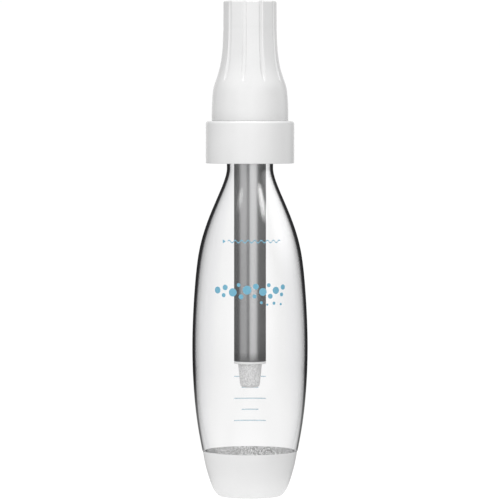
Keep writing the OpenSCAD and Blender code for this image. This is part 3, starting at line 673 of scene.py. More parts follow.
@dataclass
class Bottle:
    """Clear bottle: a domed bottom in the base cup, a wide belly and a slender threaded neck."""

    belly_r: float = 44.0
    belly_z: float = 112.0
    neck_r: float = 17.6
    neck_z: float = 249.5
    neck_h: float = 26.0
    wall: float = 2.4
    rim_r: float = 36.3
    rim_z: float = 34.4
    dome_r: float = 34.12
    dome_z: float = 3.0
    dome_flat_r: float = 7.0
    dome_handle_share: float = 0.42
    dome_slope: float = 0.29
    ring_r: float = 20.5
    ring_lift: float = 5.6
    ring_t: float = 2.2
    ring_edge_r: float = 0.5
    thread_lift: float = 10.5
    thread_pitch: float = 4.0
    thread_h: float = 1.4
    thread_turns: float = 2.5
    thread_sunk: float = 0.3
    thread_foot_share: float = 0.27
    thread_tip_share: float = 0.14
    arcs_per_turn: int = 4
    arc_span_deg: float = 60.0
    arc_steps: int = 16
    low_side_shares: Shares = ((0.911, 0.343), (1.046, 1))
    high_side_shares: Shares = ((0.914, 0.422), (0.776, 0.594), (0.493, 0.751), (0.092, 0.919),
                                (0.006, 0.983), (0, 1))
    steps: int = 200

    def side(self, inset: float, foot_r: float) -> Outline:
        """The side from the cup's rim up to the neck, moved inwards by inset.

        Args:
            inset: distance under the outside.
            foot_r: radius at the cup's rim.

        Returns:
            Points from the rim upwards.
        """
        top_r = self.neck_r - inset
        bulge = self.belly_r - self.neck_r
        low = self.belly_z - self.rim_z
        high = self.neck_z - self.belly_z
        return smooth([(foot_r, self.rim_z),
                       *[(top_r + bulge * r, self.rim_z + low * z) for r, z in self.low_side_shares],
                       *[(top_r + bulge * r, self.belly_z + high * z) for r, z in self.high_side_shares]])

    def dome(self, inset: float) -> Outline:
        """The domed bottom, from its flat spot out to the cup's rim, moved inwards by inset.

        Args:
            inset: distance over the underside.

        Returns:
            Points from the flat spot outwards.
        """
        flat = Vector((self.dome_flat_r, self.dome_z + inset))
        edge = Vector((self.dome_r - inset, self.rim_z))
        reach = (edge.y - flat.y) * self.dome_handle_share
        return cubic(flat, flat + Vector((reach, 0)), edge - reach * Vector((self.dome_slope, 1)), edge)

    def neck_outside(self) -> Outline:
        """The neck from its start up to the mouth, with the support ring and the mouth's rounding."""
        low = self.neck_z + self.ring_lift
        high = low + self.ring_t
        edge = self.ring_edge_r
        mouth_z = self.neck_z + self.neck_h
        return [(self.neck_r, low), *arc((self.ring_r - edge, low + edge), edge, -90, 0),
                *arc((self.ring_r - edge, high - edge), edge, 0, 90), (self.neck_r, high),
                *arc((self.neck_r - edge, mouth_z - edge), edge, 0, 90)]

    def radius_at(self, z: float) -> float:
        """The outer radius at a height between the cup's rim and the neck.

        Args:
            z: the height.

        Returns:
            The radius, or the neck's outside that span.
        """
        side = self.side(0, self.rim_r)
        for (r0, z0), (r1, z1) in zip(side, side[1:]):
            if z0 <= z <= z1:
                return r0 + (r1 - r0) * (z - z0) / (z1 - z0)
        return self.neck_r

    def build(self) -> None:
        """Build the bottle and its neck thread."""
        bm = bmesh.new()
        outside = [(0, self.dome_z), *self.dome(0), *self.side(0, self.rim_r), *self.neck_outside()]
        inside = [(0, self.dome_z + self.wall), *self.dome(self.wall)[:-1],
                  *self.side(self.wall, self.dome_r - self.wall),
                  (self.neck_r - self.wall, self.neck_z + self.neck_h)]
        spin_outline(bm, [*outside, *reversed(inside)], self.steps, closed=False)
        finishes = [ClearPolyester(side).build() for side in (Side.OUTER, Side.INNER)]
        bottle = finish_mesh("bottle_shell", bm, finishes, inside=partial(looks_at, z=self.belly_z))
        dress(bottle, "bottle", "clear_bottle", "bottle")
        dress(self.thread(), "bottle", "clear_bottle")

    def thread(self) -> Object:
        """The neck's thread: short arcs along the helix, with vents between them."""
        bm = bmesh.new()
        sunk_r = self.neck_r - self.thread_sunk
        tip_r = self.neck_r + self.thread_h
        foot = self.thread_pitch * self.thread_foot_share
        tip = self.thread_pitch * self.thread_tip_share
        section = [(sunk_r, -foot), (tip_r, -tip), (tip_r, tip), (sunk_r, foot)]
        span = math.radians(self.arc_span_deg)
        rise = self.thread_pitch * self.arc_span_deg / 360 / self.arc_steps
        for i in range(int(self.thread_turns * self.arcs_per_turn)):
            start = math.tau / self.arcs_per_turn * i - span / 2
            z = self.neck_z + self.thread_lift + self.thread_pitch * start / math.tau
            corners = [bm.verts.new((r * MM, 0, (z + dz) * MM)) for r, dz in section]
            face = bm.faces.new(corners)
            bmesh.ops.rotate(bm, verts=corners, cent=(0, 0, 0), matrix=Matrix.Rotation(start, 3, "Z"))
            bmesh.ops.spin(bm, geom=[*corners, *face.edges, face], cent=(0, 0, 0), axis=AXIS,
                           dvec=(0, 0, rise * MM), angle=span, steps=self.arc_steps, use_duplicate=False)
        bmesh.ops.remove_doubles(bm, verts=bm.verts[:], dist=MERGE_DISTANCE)
        return finish_mesh("bottle_thread", bm, [ClearPolyester(Side.INNER).build()])


@dataclass
class BaseCup:
    """White cup on the bottle's domed bottom, with a grained lining whose grey is partly painted shade
    inside the cup.
    """

    rim_r: float = 36.0
    rim_z: float = 34.4
    heel_r: float = 28.9
    heel_z: float = 7.2
    foot_r: float = 22.6
    ring_w: float = 5.2
    recess: float = 1.0
    wall: float = 1.8
    floor_t: float = 2.0
    handle_share: float = 0.33
    foot_handle_share: float = 0.42
    heel_slope: float = 0.38
    rim_slope: float = 0.13
    lining_margin: float = 0.1
    steps: int = 160

    def side(self, inset: float, z: float) -> Outline:
        """The side from the foot at height z to the rim, moved inwards by inset.

        Args:
            inset: distance under the outside.
            z: the height that it starts from.

        Returns:
            Points from the foot upwards.
        """
        foot = Vector((self.foot_r - inset, z))
        heel = Vector((self.heel_r - inset, self.heel_z))
        edge = Vector((self.rim_r - inset, self.rim_z))
        flat = Vector(((heel.x - foot.x) * self.foot_handle_share, 0))
        slope = Vector((self.heel_slope, 1))
        rise = (self.rim_z - heel.y) * self.handle_share
        low = cubic(foot, foot + flat, heel - (heel.y - z) * self.handle_share * slope, heel)
        high = cubic(heel, heel + rise * slope, edge - rise * Vector((self.rim_slope, 1)), edge)
        return [*low, *high[1:]]

    def build(self, shell: Material, lining: Material) -> None:
        """Build the cup, with its shell's finish outside and its lining's on what looks at its mouth.

        Args:
            shell: the finish outside.
            lining: the finish inside, grained and partly painted shade.
        """
        bm = bmesh.new()
        ring_r = self.foot_r - self.ring_w
        floor_z = self.recess + self.floor_t
        inner = list(reversed(self.side(self.wall, floor_z)))
        outline = [(0, self.recess), (ring_r, self.recess), (ring_r, 0), *self.side(0, 0), *inner,
                   (0, floor_z)]
        spin_outline(bm, outline, self.steps, closed=False)
        cup = finish_mesh("base_cup_shell", bm, [shell, lining],
                          inside=partial(looks_at, z=self.rim_z, margin=self.lining_margin))
        dress(cup, "bottle", "white_shell", "base_cup")


@dataclass
class Collar:
    """White screw collar, open below, with a pair of ribs beside each key of its nut."""

    outer_r: float = 33.7
    rise: float = 0.85
    drop: float = 0.4
    wall: float = 2.2
    top_t: float = 1.6
    hole_r: float = 15.5
    edge_r: float = 2.2
    lip_r: float = 0.6
    nut_r: float = 22.3
    key_count: int = 6
    key_w: float = 2.4
    rib_t: float = 1.6
    gap: float = 0.3
    steps: int = 200

    def build(self, shell: Material) -> None:
        """Build the collar between the heights of its CAD node.

        Args:
            shell: its finish.
        """
        low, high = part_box("collar_shell")
        z0, z1 = low.z / MM - self.drop, high.z / MM + self.rise
        ceiling_z = high.z / MM - self.top_t
        bore_r = self.outer_r - self.wall
        top_r = self.hole_r + self.lip_r
        bm = bmesh.new()
        outline = [(self.hole_r, ceiling_z), (bore_r, ceiling_z), (bore_r, z0 + self.lip_r / 2),
                   (bore_r + self.lip_r / 2, z0),
                   *arc((self.outer_r - self.lip_r, z0 + self.lip_r), self.lip_r, -90, 0),
                   *arc((self.outer_r - self.edge_r, z1 - self.edge_r), self.edge_r, 0, 90, 10),
                   (top_r, z1), *arc((top_r, z1 - self.lip_r), self.lip_r, 90, 180)]
        spin_outline(bm, outline, self.steps)
        reach = (self.nut_r + self.gap, bore_r + self.wall / 2)
        near = (self.key_w + self.gap) / 2
        for i in range(self.key_count):
            for rib in ((-near - self.rib_t, -near), (near, near + self.rib_t)):
                add_box(bm, reach, rib, (z0 + self.wall, ceiling_z + self.top_t / 2),
                        math.tau * i / self.key_count)
        dress(finish_mesh("collar_cover", bm, [shell]), "collar", "white_shell", "collar_shell")


@dataclass
class Bell:
    """White bell over the charger, with grip grooves that deepen downwards and end in scoops."""

    top_r: float = 20.6
    foot_r: float = 29.2
    wall: float = 3.4
    top_t: float = 3.0
    edge_r: float = 1.5
    lip_r: float = 0.5
    lift: float = 0.6
    side_shares: Shares = ((1, 0), (1, 0.12), (0.935, 0.2), (0.88, 0.28), (0.533, 0.36), (0.238, 0.46),
                           (0.068, 0.6), (0.005, 0.78), (0, 1))
    top_ring_shares: Triple = (0.86, 0.7, 0.35)
    groove_count: int = 10
    first_groove_deg: float = 42.3
    groove_w: float = 3.2
    groove_end_w: float = 3.8
    groove_depth: float = 0.8
    groove_end_depth: float = 1.6
    scoop_z: float = 29.7
    scoop_h: float = 7.0
    scoop_power: float = 0.55
    flat_share: float = 0.85
    flat_height_share: float = 0.5
    skin_share: float = 0.9
    middle_r: float = 1.0
    bore_every: int = 4
    rib_count: int = 5
    rib_t: float = 1.6
    low_rib_z: Span = (2.6, 20.0)
    low_rib_r: float = 17.8
    low_rib_sunk: float = 0.4
    high_rib_z: float = 24.0
    high_rib_sunk: float = 0.8
    top_sunk: float = 0.5
    sleeve_r: float = 11.2
    ledge_shade_h: float = 9.0
    steps: int = 540

    def side(self, inset: float, low_z: float, high_z: float) -> Outline:
        """The side from the foot up to the top, moved inwards by inset."""
        spread = self.foot_r - self.top_r
        return smooth([(self.top_r + spread * r - inset, low_z + (high_z - low_z) * z)
                       for r, z in self.side_shares], steps=10)

    def groove_depth_at(self, across: float, above: float, height: float) -> float:
        """The depth of the grooves' floor under the bell's round side.

        Args:
            across: distance from the nearest groove's middle.
            above: height above the scoops' lowest point.
            height: height of the bell's top above that point.

        Returns:
            The depth in millimetres, or 0 outside a groove.
        """
        if above <= 0:
            return 0.0
        run = min(above / height, 1.0)
        half_w = (self.groove_end_w + (self.groove_w - self.groove_end_w) * run) / 2
        depth = self.groove_end_depth + (self.groove_depth - self.groove_end_depth) * run
        opened = min(above / self.scoop_h, 1.0)
        half_w *= opened ** self.scoop_power
        depth *= math.sin(opened * math.pi / 2)
        share = across / half_w
        return depth * (1 - share ** 3) if share < 1 else 0.0

    def carve(self, bm: BMesh, low_z: float, high_z: float) -> None:
        """Flatten the panels between the grooves and sink the grooves, on the bell's outside.

        Args:
            bm: the bell's outer skin.
            low_z: height of its foot.
            high_z: height of its top.
        """
        pitch = math.tau / self.groove_count
        first = math.radians(self.first_groove_deg)
        side = {round(z, 3): r for r, z in self.side(0, low_z, high_z)}
        scoop_z = low_z + self.scoop_z
        height = high_z - scoop_z
        for vert in bm.verts:
            above = vert.co.z / MM - scoop_z
            radius = vert.co.xy.length / MM
            if above < 0 or radius < self.middle_r:
                continue
            round_r = side.get(round(vert.co.z / MM, 3), self.top_r)
            angle = math.atan2(vert.co.y, vert.co.x) - first
            offset = abs((angle + pitch / 2) % pitch - pitch / 2)
            rise = min(above / (height * self.flat_height_share), 1.0)
            flat = self.flat_share * rise * rise * (3 - 2 * rise)
            panel_share = 1 - flat * (1 - math.cos(pitch / 2) / math.cos(pitch / 2 - offset))
            limit = round_r * panel_share - self.groove_depth_at(offset * round_r, above, height)
            on_skin = radius > self.skin_share * round_r
            vert.co.xy *= min(radius * (panel_share if on_skin else 1.0), limit) / radius

    def build(self) -> None:
        """Build the bell between the heights of its CAD node, with painted shade along its hem above the
        collar's ledge.
        """
        low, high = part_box("holder_shell")
        z0, z1 = low.z / MM + self.lift, high.z / MM
        # painted shade: the bell darkens towards its foot, where the collar's ledge would shade it
        shell = MouldedAbs("white_moulded_abs_hem", ledge_shade_z=(z0, z0 + self.ledge_shade_h)).build()
        ceiling_z = z1 - self.top_t
        outside = [p for p in self.side(0, z0, z1) if z0 + self.lip_r < p[1] < z1 - self.edge_r]
        inside = [p for p in self.side(self.wall, z0, z1)[::self.bore_every] if z0 < p[1] < ceiling_z]
        bore_r = self.foot_r - self.wall
        bore_top_r = self.top_r - self.wall
        bm = bmesh.new()
        outline = [(bore_r, z0), *arc((self.foot_r - self.lip_r, z0 + self.lip_r), self.lip_r, -90, 0, 4),
                   *outside, *arc((self.top_r - self.edge_r, z1 - self.edge_r), self.edge_r, 0, 90, 8),
                   *[(self.top_r * share, z1) for share in self.top_ring_shares], (0, z1)]
        spin_outline(bm, outline, self.steps, closed=False)
        self.carve(bm, z0, z1)
        spin_outline(bm, [(0, ceiling_z), (bore_top_r, ceiling_z), *reversed(inside), (bore_r, z0)],
                     self.steps, closed=False)
        bmesh.ops.remove_doubles(bm, verts=bm.verts[:], dist=MERGE_DISTANCE)
        ribs = (((self.sleeve_r, bore_top_r + self.high_rib_sunk),
                 (z0 + self.high_rib_z, ceiling_z + self.top_sunk)),
                ((self.low_rib_r, bore_r + self.low_rib_sunk), tuple(z0 + z for z in self.low_rib_z)))
        breadth = (-self.rib_t / 2, self.rib_t / 2)
        for i in range(self.rib_count):
            for reach, rib_z in ribs:
                add_box(bm, reach, breadth, rib_z, math.tau * i / self.rib_count)
        bell = finish_mesh("bell_cover", bm, [shell], sharp_deg=50)
        dress(bell, "holder", "white_shell", "holder_shell")


@dataclass
class GasTube:
    """Wide satin tube that hangs into the bottle, its white end plug and the porous diffuser."""

    tube_r: float = 12.18
    wall: float = 1.0
    edge_r: float = 0.35
    tube_rings: int = 24
    plug_h: float = 10.0
    plug_gap: float = 0.08
    nipple_r: float = 5.5
    nipple_h: float = 8.0
    bore_r: float = 2.75
    ring_edge_r: float = 0.4
    diffuser_top_r: float = 9.1
    diffuser_end_r: float = 7.6
    diffuser_edge_r: float = 3.0
    diffuser_floor_t: float = 2.6
    diffuser_rings: int = 28
    floor_ring_shares: Span = (0.3, 0.6)
    lump_mm: float = 0.05
    lumps_per_mm: Triple = (4.1, 3.7, 3.3)
    lump_starts: Triple = (0, 1, 0)
    skin_gap: float = 0.5
    steps: int = 160

    def build(self, tube: Material, plug: Material, diffuser: Material) -> None:
        """Build the three pieces, one under the other.

        Args:
            tube: the tube's finish.
            plug: the end plug's finish.
            diffuser: the diffuser's finish.
        """
        low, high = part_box("gas_tube")
        z0, z1 = low.z / MM, high.z / MM
        self.build_tube(z0, z1, tube)
        ring_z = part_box("diffuser")[1].z / MM
        self.build_plug(ring_z, z0, plug)
        self.build_diffuser(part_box("diffuser")[0].z / MM, ring_z, diffuser)

    def build_tube(self, z0: float, z1: float, finish: Material) -> None:
        """The tube, with its ends deburred.

        Args:
            z0: height of its lower end.
            z1: height of its upper end.
            finish: its finish.
        """
        bore_r = self.tube_r - self.wall
        edge = self.edge_r
        rings = [z0 + (z1 - z0) * i / self.tube_rings for i in range(1, self.tube_rings)]
        outline = [*arc((bore_r + edge, z0 + edge), edge, 180, 270, 3),
                   *arc((self.tube_r - edge, z0 + edge), edge, -90, 0, 3),
                   *[(self.tube_r, z) for z in rings],
                   *arc((self.tube_r - edge, z1 - edge), edge, 0, 90, 3),
                   *arc((bore_r + edge, z1 - edge), edge, 90, 180, 3)]
        bm = bmesh.new()
        spin_outline(bm, outline, self.steps)
        tube = finish_mesh("satin_gas_tube", bm, [finish], sharp_deg=60)
        dress(tube, "head", "satin_tube", "gas_tube")

    def build_plug(self, ring_z: float, tube_z: float, finish: Material) -> None:
        """The plug: visible ring, spigot in the tube and nipple for the diffuser.

        Args:
            ring_z: height of the ring's lower face.
            tube_z: height of the tube's lower end.
            finish: its finish.
        """
        spigot_r = self.tube_r - self.wall - self.plug_gap
        edge = self.ring_edge_r
        tip_z = ring_z - self.nipple_h
        top_z = tube_z + self.plug_h
        outline = [(self.bore_r, tip_z), (self.nipple_r, tip_z), (self.nipple_r, ring_z),
                   *arc((self.tube_r - edge, ring_z + edge), edge, -90, 0, 4),
                   *arc((self.tube_r - edge, tube_z - edge), edge, 0, 90, 4),
                   (spigot_r, tube_z), (spigot_r, top_z), (self.bore_r, top_z)]
        bm = bmesh.new()
        spin_outline(bm, outline, self.steps)
        dress(finish_mesh("tube_end_ring", bm, [finish]), "head", "white_shell", "tube_end_plug")

    def build_diffuser(self, z0: float, z1: float, finish: Material) -> None:
        """The diffuser: a tapered porous cup with a slightly lumpy skin.

        Args:
            z0: height of its lower end.
            z1: height of its upper end.
            finish: its finish.
        """
        edge = self.diffuser_edge_r
        end_r = self.diffuser_end_r
        bore_r = self.nipple_r + self.plug_gap
        floor_z = z0 + self.diffuser_floor_t
        wall_z = z0 + edge
        shares = [i / self.diffuser_rings for i in range(1, self.diffuser_rings + 1)]
        outline = [(0, z0), *[(end_r * share, z0) for share in self.floor_ring_shares],
                   *arc((end_r - edge, wall_z), edge, -90, 0),
                   *[(end_r + (self.diffuser_top_r - end_r) * share, wall_z + (z1 - wall_z) * share)
                     for share in shares],
                   (bore_r, z1), (bore_r, floor_z), (0, floor_z)]
        bm = bmesh.new()
        spin_outline(bm, outline, self.steps, closed=False)
        for vert in bm.verts:
            out = Vector((vert.co.x, vert.co.y, 0))
            if out.length > (bore_r + self.skin_gap) * MM:
                wave = math.prod(math.sin(place / MM * often + start) for place, often, start
                                 in zip(vert.co, self.lumps_per_mm, self.lump_starts))
                vert.co += out.normalized() * (min(wave, 0) * self.lump_mm * MM)
        dress(finish_mesh("porous_diffuser", bm, [finish]), "head", "porous_diffuser", "diffuser")


@dataclass
class Prints:
    """Plain marks on the bottle: a wavy fill line with a pointer, some bubbles and a scale at the back.

    Each bubble is given by its x, its height among them and its radius.
    """

    bottle: Bottle
    lift: float = 0.05
    film: float = 0.03
    line_z: float = 195.6
    line_x: Span = (-17.5, 24.4)
    line_w: float = 0.75
    line_cells: int = 170
    wave_h: float = 0.95
    wave_l: float = 4.95
    pointer_r: float = 1.7
    pointer_gap: float = 3.4
    bubbles_z: float = 158.6
    bubbles: tuple[Triple, ...] = (
        (-26, 0.5, 2.6), (-20.6, -3.2, 1.6), (-19.4, 2.6, 2.1), (-13.2, -1, 3.1), (-8.6, 4.6, 1.4),
        (-6.8, -4.2, 1.8), (-2.2, 0.8, 3.3), (3.4, -3.9, 1.5), (4.4, 3.4, 2.2), (9.8, -0.6, 2.9),
        (14.4, 4.4, 1.5), (15.6, -3.9, 1.9), (20.2, 0.4, 2.7), (25.2, -2.8, 1.5), (26.4, 2.7, 2.0),
        (8.6, -8.6, 1.1), (13.2, -10.2, 0.8), (18.6, -9.2, 1.2), (24.4, -10, 0.9))
    bubble_steps: int = 28
    scale_z: Span = (54.0, 105.0)
    scale_count: int = 7
    scale_w: Span = (25.0, 13.0)
    scale_t: float = 0.8
    scale_cells: int = 24

    def wrap(self, name: str, bm: BMesh, finish: Material, side: int = -1) -> None:
        """Lay flat marks, drawn with x across and y up, on the bottle's outside.

        Args:
            name: the piece's name.
            bm: the marks.
            finish: their ink.
            side: -1 for the front and 1 for the back.
        """
        for vert in bm.verts:
            z = vert.co.y / MM
            radius = self.bottle.radius_at(z) + self.lift
            angle = vert.co.x / MM / radius
            vert.co = Vector((radius * math.sin(angle), side * radius * math.cos(angle), z)) * MM
        bmesh.ops.solidify(bm, geom=bm.faces[:], thickness=-self.film * MM)
        dress(finish_mesh(name, bm, [finish]), "bottle", "clear_bottle")

    def strip(self, bm: BMesh, x: Span, z: float, width: float, cells: int) -> list[BMVert]:
        """A flat horizontal strip, cut across into cells."""
        place = Matrix.Translation(((x[0] + x[1]) / 2 * MM, z * MM, 0)) @ Matrix.Diagonal(
            ((x[1] - x[0]) / 2 * MM, width / 2 * MM, 1, 1))
        return bmesh.ops.create_grid(bm, x_segments=cells, y_segments=1, size=1, matrix=place)["verts"]

    def build(self, front: Material, back: Material) -> None:
        """Build the marks of the front and of the back.

        Args:
            front: the ink of the front.
            back: the ink of the back.
        """
        bm = bmesh.new()
        for vert in self.strip(bm, self.line_x, self.line_z, self.line_w, self.line_cells):
            turn = (vert.co.x / MM - self.line_x[0]) / self.wave_l * math.tau
            vert.co.y += self.wave_h * math.sin(turn) * MM
        pointer = Matrix.Translation(((self.line_x[0] - self.pointer_gap) * MM, self.line_z * MM, 0))
        bmesh.ops.create_circle(bm, cap_ends=True, cap_tris=True, segments=3, radius=self.pointer_r * MM,
                                matrix=pointer @ Matrix.Rotation(-math.pi / 2, 4, "Z"))
        self.wrap("fill_line", bm, front)
        bm = bmesh.new()
        for x, y, radius in self.bubbles:
            bmesh.ops.create_circle(bm, cap_ends=True, cap_tris=True, segments=self.bubble_steps,
                                    radius=radius * MM,
                                    matrix=Matrix.Translation((x * MM, (self.bubbles_z + y) * MM, 0)))
        self.wrap("bubble_marks", bm, front)
        bm = bmesh.new()
        for i in range(self.scale_count):
            z = self.scale_z[0] + (self.scale_z[1] - self.scale_z[0]) * i / (self.scale_count - 1)
            half = self.scale_w[i % 2] / 2
            self.strip(bm, (-half, half), z, self.scale_t, self.scale_cells)
        self.wrap("scale_marks", bm, back, side=1)


@dataclass
class InnerParts:
    """The pieces inside the head and the bell, which keep their CAD shapes."""

    finishes: dict[str, Material]

    def build(self) -> None:
        """Give every node that no other piece stands for its finish, and make the springs."""
        for name, material in self.finishes.items():
            node = frame["nodes"][name]
            node.data.materials.clear()
            node.data.materials.append(material)
            LOG.info("%s: finished in %s", name, material.name)
        for joint in frame["joints"]:
            for spring in joint.get("deforming_nodes", []):
                self.build_spring(spring["node"], joint)

    def build_spring(self, name: str, joint: dict) -> None:
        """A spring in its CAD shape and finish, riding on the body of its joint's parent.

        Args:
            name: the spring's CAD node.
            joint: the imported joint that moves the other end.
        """
        coil = bpy.data.objects.new(f"{name}_coil", frame["nodes"][name].data.copy())
        bpy.context.scene.collection.objects.link(coil)
        dress(coil, joint["parent"], "spring_steel", name)
        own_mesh(coil)


@dataclass
class Studio:
    """Pale floor, soft light all round and the camera at the photograph's viewing angle.

    Lengths are in metres here, unless a name says otherwise. Each azimuth in degrees has the level of the
    light from there, and each lamp is given by its azimuth and elevation in degrees, its width, its height
    and its watts.
    """

    picture_px: float = 500.0
    sensor_mm: float = 36.0
    focal_px: float = 3400.0
    horizon_px: float = 112.0
    distance: float = 2.5905
    height: float = 0.2930
    sight: float = 400.0
    floor_size: float = 0.35
    floor_grey: float = 0.45
    fade: Span = (0.026, 0.08)
    shade_x: Span = (-0.02, 0.06)
    shade: float = 0.22
    near_glow: float = 0.52
    far_glow: float = 0.8
    far_gloss: float = 0.22
    seen_lift: float = 0.3
    seen_white: float = 1.02
    key_azimuth: float = -7.0
    soft_all: float = 0.225
    soft_front: float = 0.73
    soft_above: float = 0.85
    azimuths: Shares = ((-180, 0.3), (-150, 0.15), (-90, 0.17), (-64, 0.8), (-30, 0.82), (-14, 0.33),
                        (-8, 0.37), (2, 1.12), (20, 1.25), (42, 1.12), (62, 0.22), (80, 0.15),
                        (150, 0.14), (180, 0.3))
    low_z: Span = (-0.1, 0.0)
    low_share: float = 0.45
    ceiling_z: Span = (0.3, 0.75)
    ceiling: float = 1.3
    ceiling_right: float = 0.8
    lamp_distance: float = 2.4
    lamp_target_z: float = 0.22
    lamp_fade: Span = (0.1, 0.5)
    bottle_lamps: Lamps = ((49.5, 44.6, 1.15, 0.94, 36.0), (-45.0, 46.6, 1.15, 0.66, 13.0),
                           (100.0, 24.0, 4.6, 2.3, 75.0))
    shell_lamps: Lamps = ((-12.0, 6.0, 3.6, 2.6, 23.0), (0.0, 82.0, 4.0, 1.1, 150.0),
                          (180.0, 4.0, 5.0, 2.6, 26.0), (118.0, 4.0, 2.2, 3.0, 10.0))
    bottle_pieces: Sequence[str] = ("bottle_shell",)
    shell_pieces: Sequence[str] = ("bell_cover", "collar_cover", "base_cup_shell", "tube_end_ring")

    def camera(self) -> None:
        """Set the camera: level with the collar, turned down so that the horizon lies at its row."""
        data = bpy.data.cameras.new("camera")
        data.sensor_width = self.sensor_mm
        data.lens = self.focal_px / self.picture_px * self.sensor_mm
        data.clip_end = self.sight
        camera = bpy.data.objects.new("camera", data)
        tilt = math.atan((self.picture_px / 2 - self.horizon_px) / self.focal_px)
        camera.location = (0, -self.distance, self.height)
        camera.rotation_euler = (math.pi / 2 - tilt, 0, 0)
        bpy.context.scene.collection.objects.link(camera)
        bpy.context.scene.camera = camera

    def floor(self) -> None:
        """A pale floor that turns into the white surroundings a little way off, dimmer on the right."""
        material, tree = new_material("pale_floor")
        place = object_coordinates(tree)
        path = add_node(tree, "LightPath")
        seen = path.outputs["Is Camera Ray"]
        matt = add_node(tree, "BsdfDiffuse", {"Color": (*[self.floor_grey] * 3, 1)})
        near_power = add_node(tree, "MapRange", {
            "Value": seen, "To Min": self.near_glow, "To Max": self.near_glow + self.seen_lift})
        near_light = add_node(tree, "Emission", {"Strength": near_power})
        near = add_node(tree, "AddShader", {0: matt, 1: near_light})
        dimmed = add_node(tree, "MapRange", {
            "Value": add_node(tree, "SeparateXYZ", {0: place}), "From Min": self.shade_x[0],
            "From Max": self.shade_x[1], "To Min": 1.0, "To Max": 1 - self.shade})
        given = add_node(tree, "Math", {0: dimmed, 1: seen}, operation="MAXIMUM")
        glow = add_node(tree, "MapRange", {
            "Value": path.outputs["Is Glossy Ray"], "To Min": self.far_glow, "To Max": self.far_gloss})
        shown = add_node(tree, "Math", {0: given, 1: glow}, operation="MULTIPLY")
        far_power = add_node(tree, "Math", {0: seen, 1: self.seen_lift, 2: shown}, operation="MULTIPLY_ADD")
        far = add_node(tree, "Emission", {"Strength": far_power})
        share = add_node(tree, "MapRange", {
            "Value": across_axis(tree, place), "From Min": self.fade[0], "From Max": self.fade[1]},
            interpolation_type="SMOOTHSTEP")
        mix = add_node(tree, "MixShader", {0: share, 1: near, 2: far})
        add_node(tree, "OutputMaterial", {"Surface": mix})
        bm = bmesh.new()
        bmesh.ops.create_grid(bm, x_segments=1, y_segments=1, size=self.floor_size)
        finish_mesh("floor", bm, [material], closed=False)

    def soft_level(self, tree: NodeTree, direction: Source) -> Node:
        """The light that matt faces get from a direction: some all round, more in front and above.

        Args:
            tree: the world's node tree.
            direction: the direction.

        Returns:
            The node that gives it.
        """
        key = math.radians(self.key_azimuth)
        z = add_node(tree, "SeparateXYZ", {0: direction}).outputs[2]
        above = add_node(tree, "Math", {0: z, 1: 0.0}, operation="MAXIMUM")
        ahead = add_node(tree, "VectorMath", {0: direction, 1: (math.sin(key), -math.cos(key), 0)},
                         operation="DOT_PRODUCT").outputs["Value"]
        front = add_node(tree, "Math", {0: ahead, 1: 0.0}, operation="MAXIMUM")
        level = add_node(tree, "Math", {0: above, 1: self.soft_above, 2: self.soft_all},
                         operation="MULTIPLY_ADD")
        return add_node(tree, "Math", {0: front, 1: self.soft_front, 2: level}, operation="MULTIPLY_ADD")

    def banded_level(self, tree: NodeTree, direction: Source) -> Node:
        """The light that reflections show in a direction: upright bands, weaker below, under a ceiling.

        Args:
            tree: the world's node tree.
            direction: the direction.

        Returns:
            The node that gives it.
        """
        x, y, z = add_node(tree, "SeparateXYZ", {0: direction}).outputs
        towards = add_node(tree, "Math", {0: y, 1: -1.0}, operation="MULTIPLY")
        angle = add_node(tree, "Math", {0: x, 1: towards}, operation="ARCTAN2")
        share = add_node(tree, "Math", {0: angle, 1: 1 / math.tau, 2: 0.5}, operation="MULTIPLY_ADD")
        ramp = add_node(tree, "ValToRGB", {0: share})
        fill_ramp(ramp, [(azimuth / 360 + 0.5, (*[level] * 3, 1)) for azimuth, level in self.azimuths])
        low = add_node(tree, "MapRange", {
            "Value": z, "From Min": self.low_z[0], "From Max": self.low_z[1], "To Min": self.low_share})
        bands = add_node(tree, "Math", {0: ramp, 1: low}, operation="MULTIPLY")
        right = add_node(tree, "Math", {0: x, 1: 0.0}, operation="MAXIMUM")
        ceiling = add_node(tree, "Math", {0: right, 1: self.ceiling_right, 2: self.ceiling},
                           operation="MULTIPLY_ADD")
        high = add_node(tree, "MapRange", {
            "Value": z, "From Min": self.ceiling_z[0], "From Max": self.ceiling_z[1]})
        return add_node(tree, "Mix", {"Factor": high, 2: bands, 3: ceiling}, data_type="FLOAT")

    def world(self) -> None:
        """Surroundings: white to the eye, soft as light, and banded in reflections."""
        world = bpy.data.worlds.new("surroundings")
        world.use_nodes = True
        tree = world.node_tree
        tree.nodes.clear()
        direction = add_node(tree, "TexCoord").outputs["Generated"]
        path = add_node(tree, "LightPath")
        lit = add_node(tree, "Mix", {
            "Factor": path.outputs["Is Glossy Ray"], 2: self.soft_level(tree, direction),
            3: self.banded_level(tree, direction)}, data_type="FLOAT")
        shown = add_node(tree, "Mix", {
            "Factor": path.outputs["Is Camera Ray"], 2: lit, 3: self.seen_white}, data_type="FLOAT")
        background = add_node(tree, "Background", {"Color": WHITE, "Strength": shown})
        add_node(tree, "OutputWorld", {"Surface": background})
        world.cycles.sampling_method = "NONE"
        bpy.context.scene.world = world

    def soften(self, tree: NodeTree) -> None:
        """Let a lamp fade from its middle to its rim, as the cloth of a soft box does.

        Args:
            tree: the lamp's node tree.
        """
        tree.nodes.clear()
        place = add_node(tree, "NewGeometry").outputs["Parametric"]
        offset = add_node(tree, "VectorMath", {0: place, 1: (0.5, 0.5, 0)}, operation="SUBTRACT")
        away = add_node(tree, "VectorMath", {0: offset}, operation="LENGTH").outputs["Value"]
        share = add_node(tree, "MapRange", {
            "Value": away, "From Min": self.lamp_fade[0], "From Max": self.lamp_fade[1], "To Min": 1.0,
            "To Max": 0.0}, interpolation_type="SMOOTHSTEP")
        light = add_node(tree, "Emission", {"Color": WHITE, "Strength": share})
        add_node(tree, "OutputLight", {0: light})

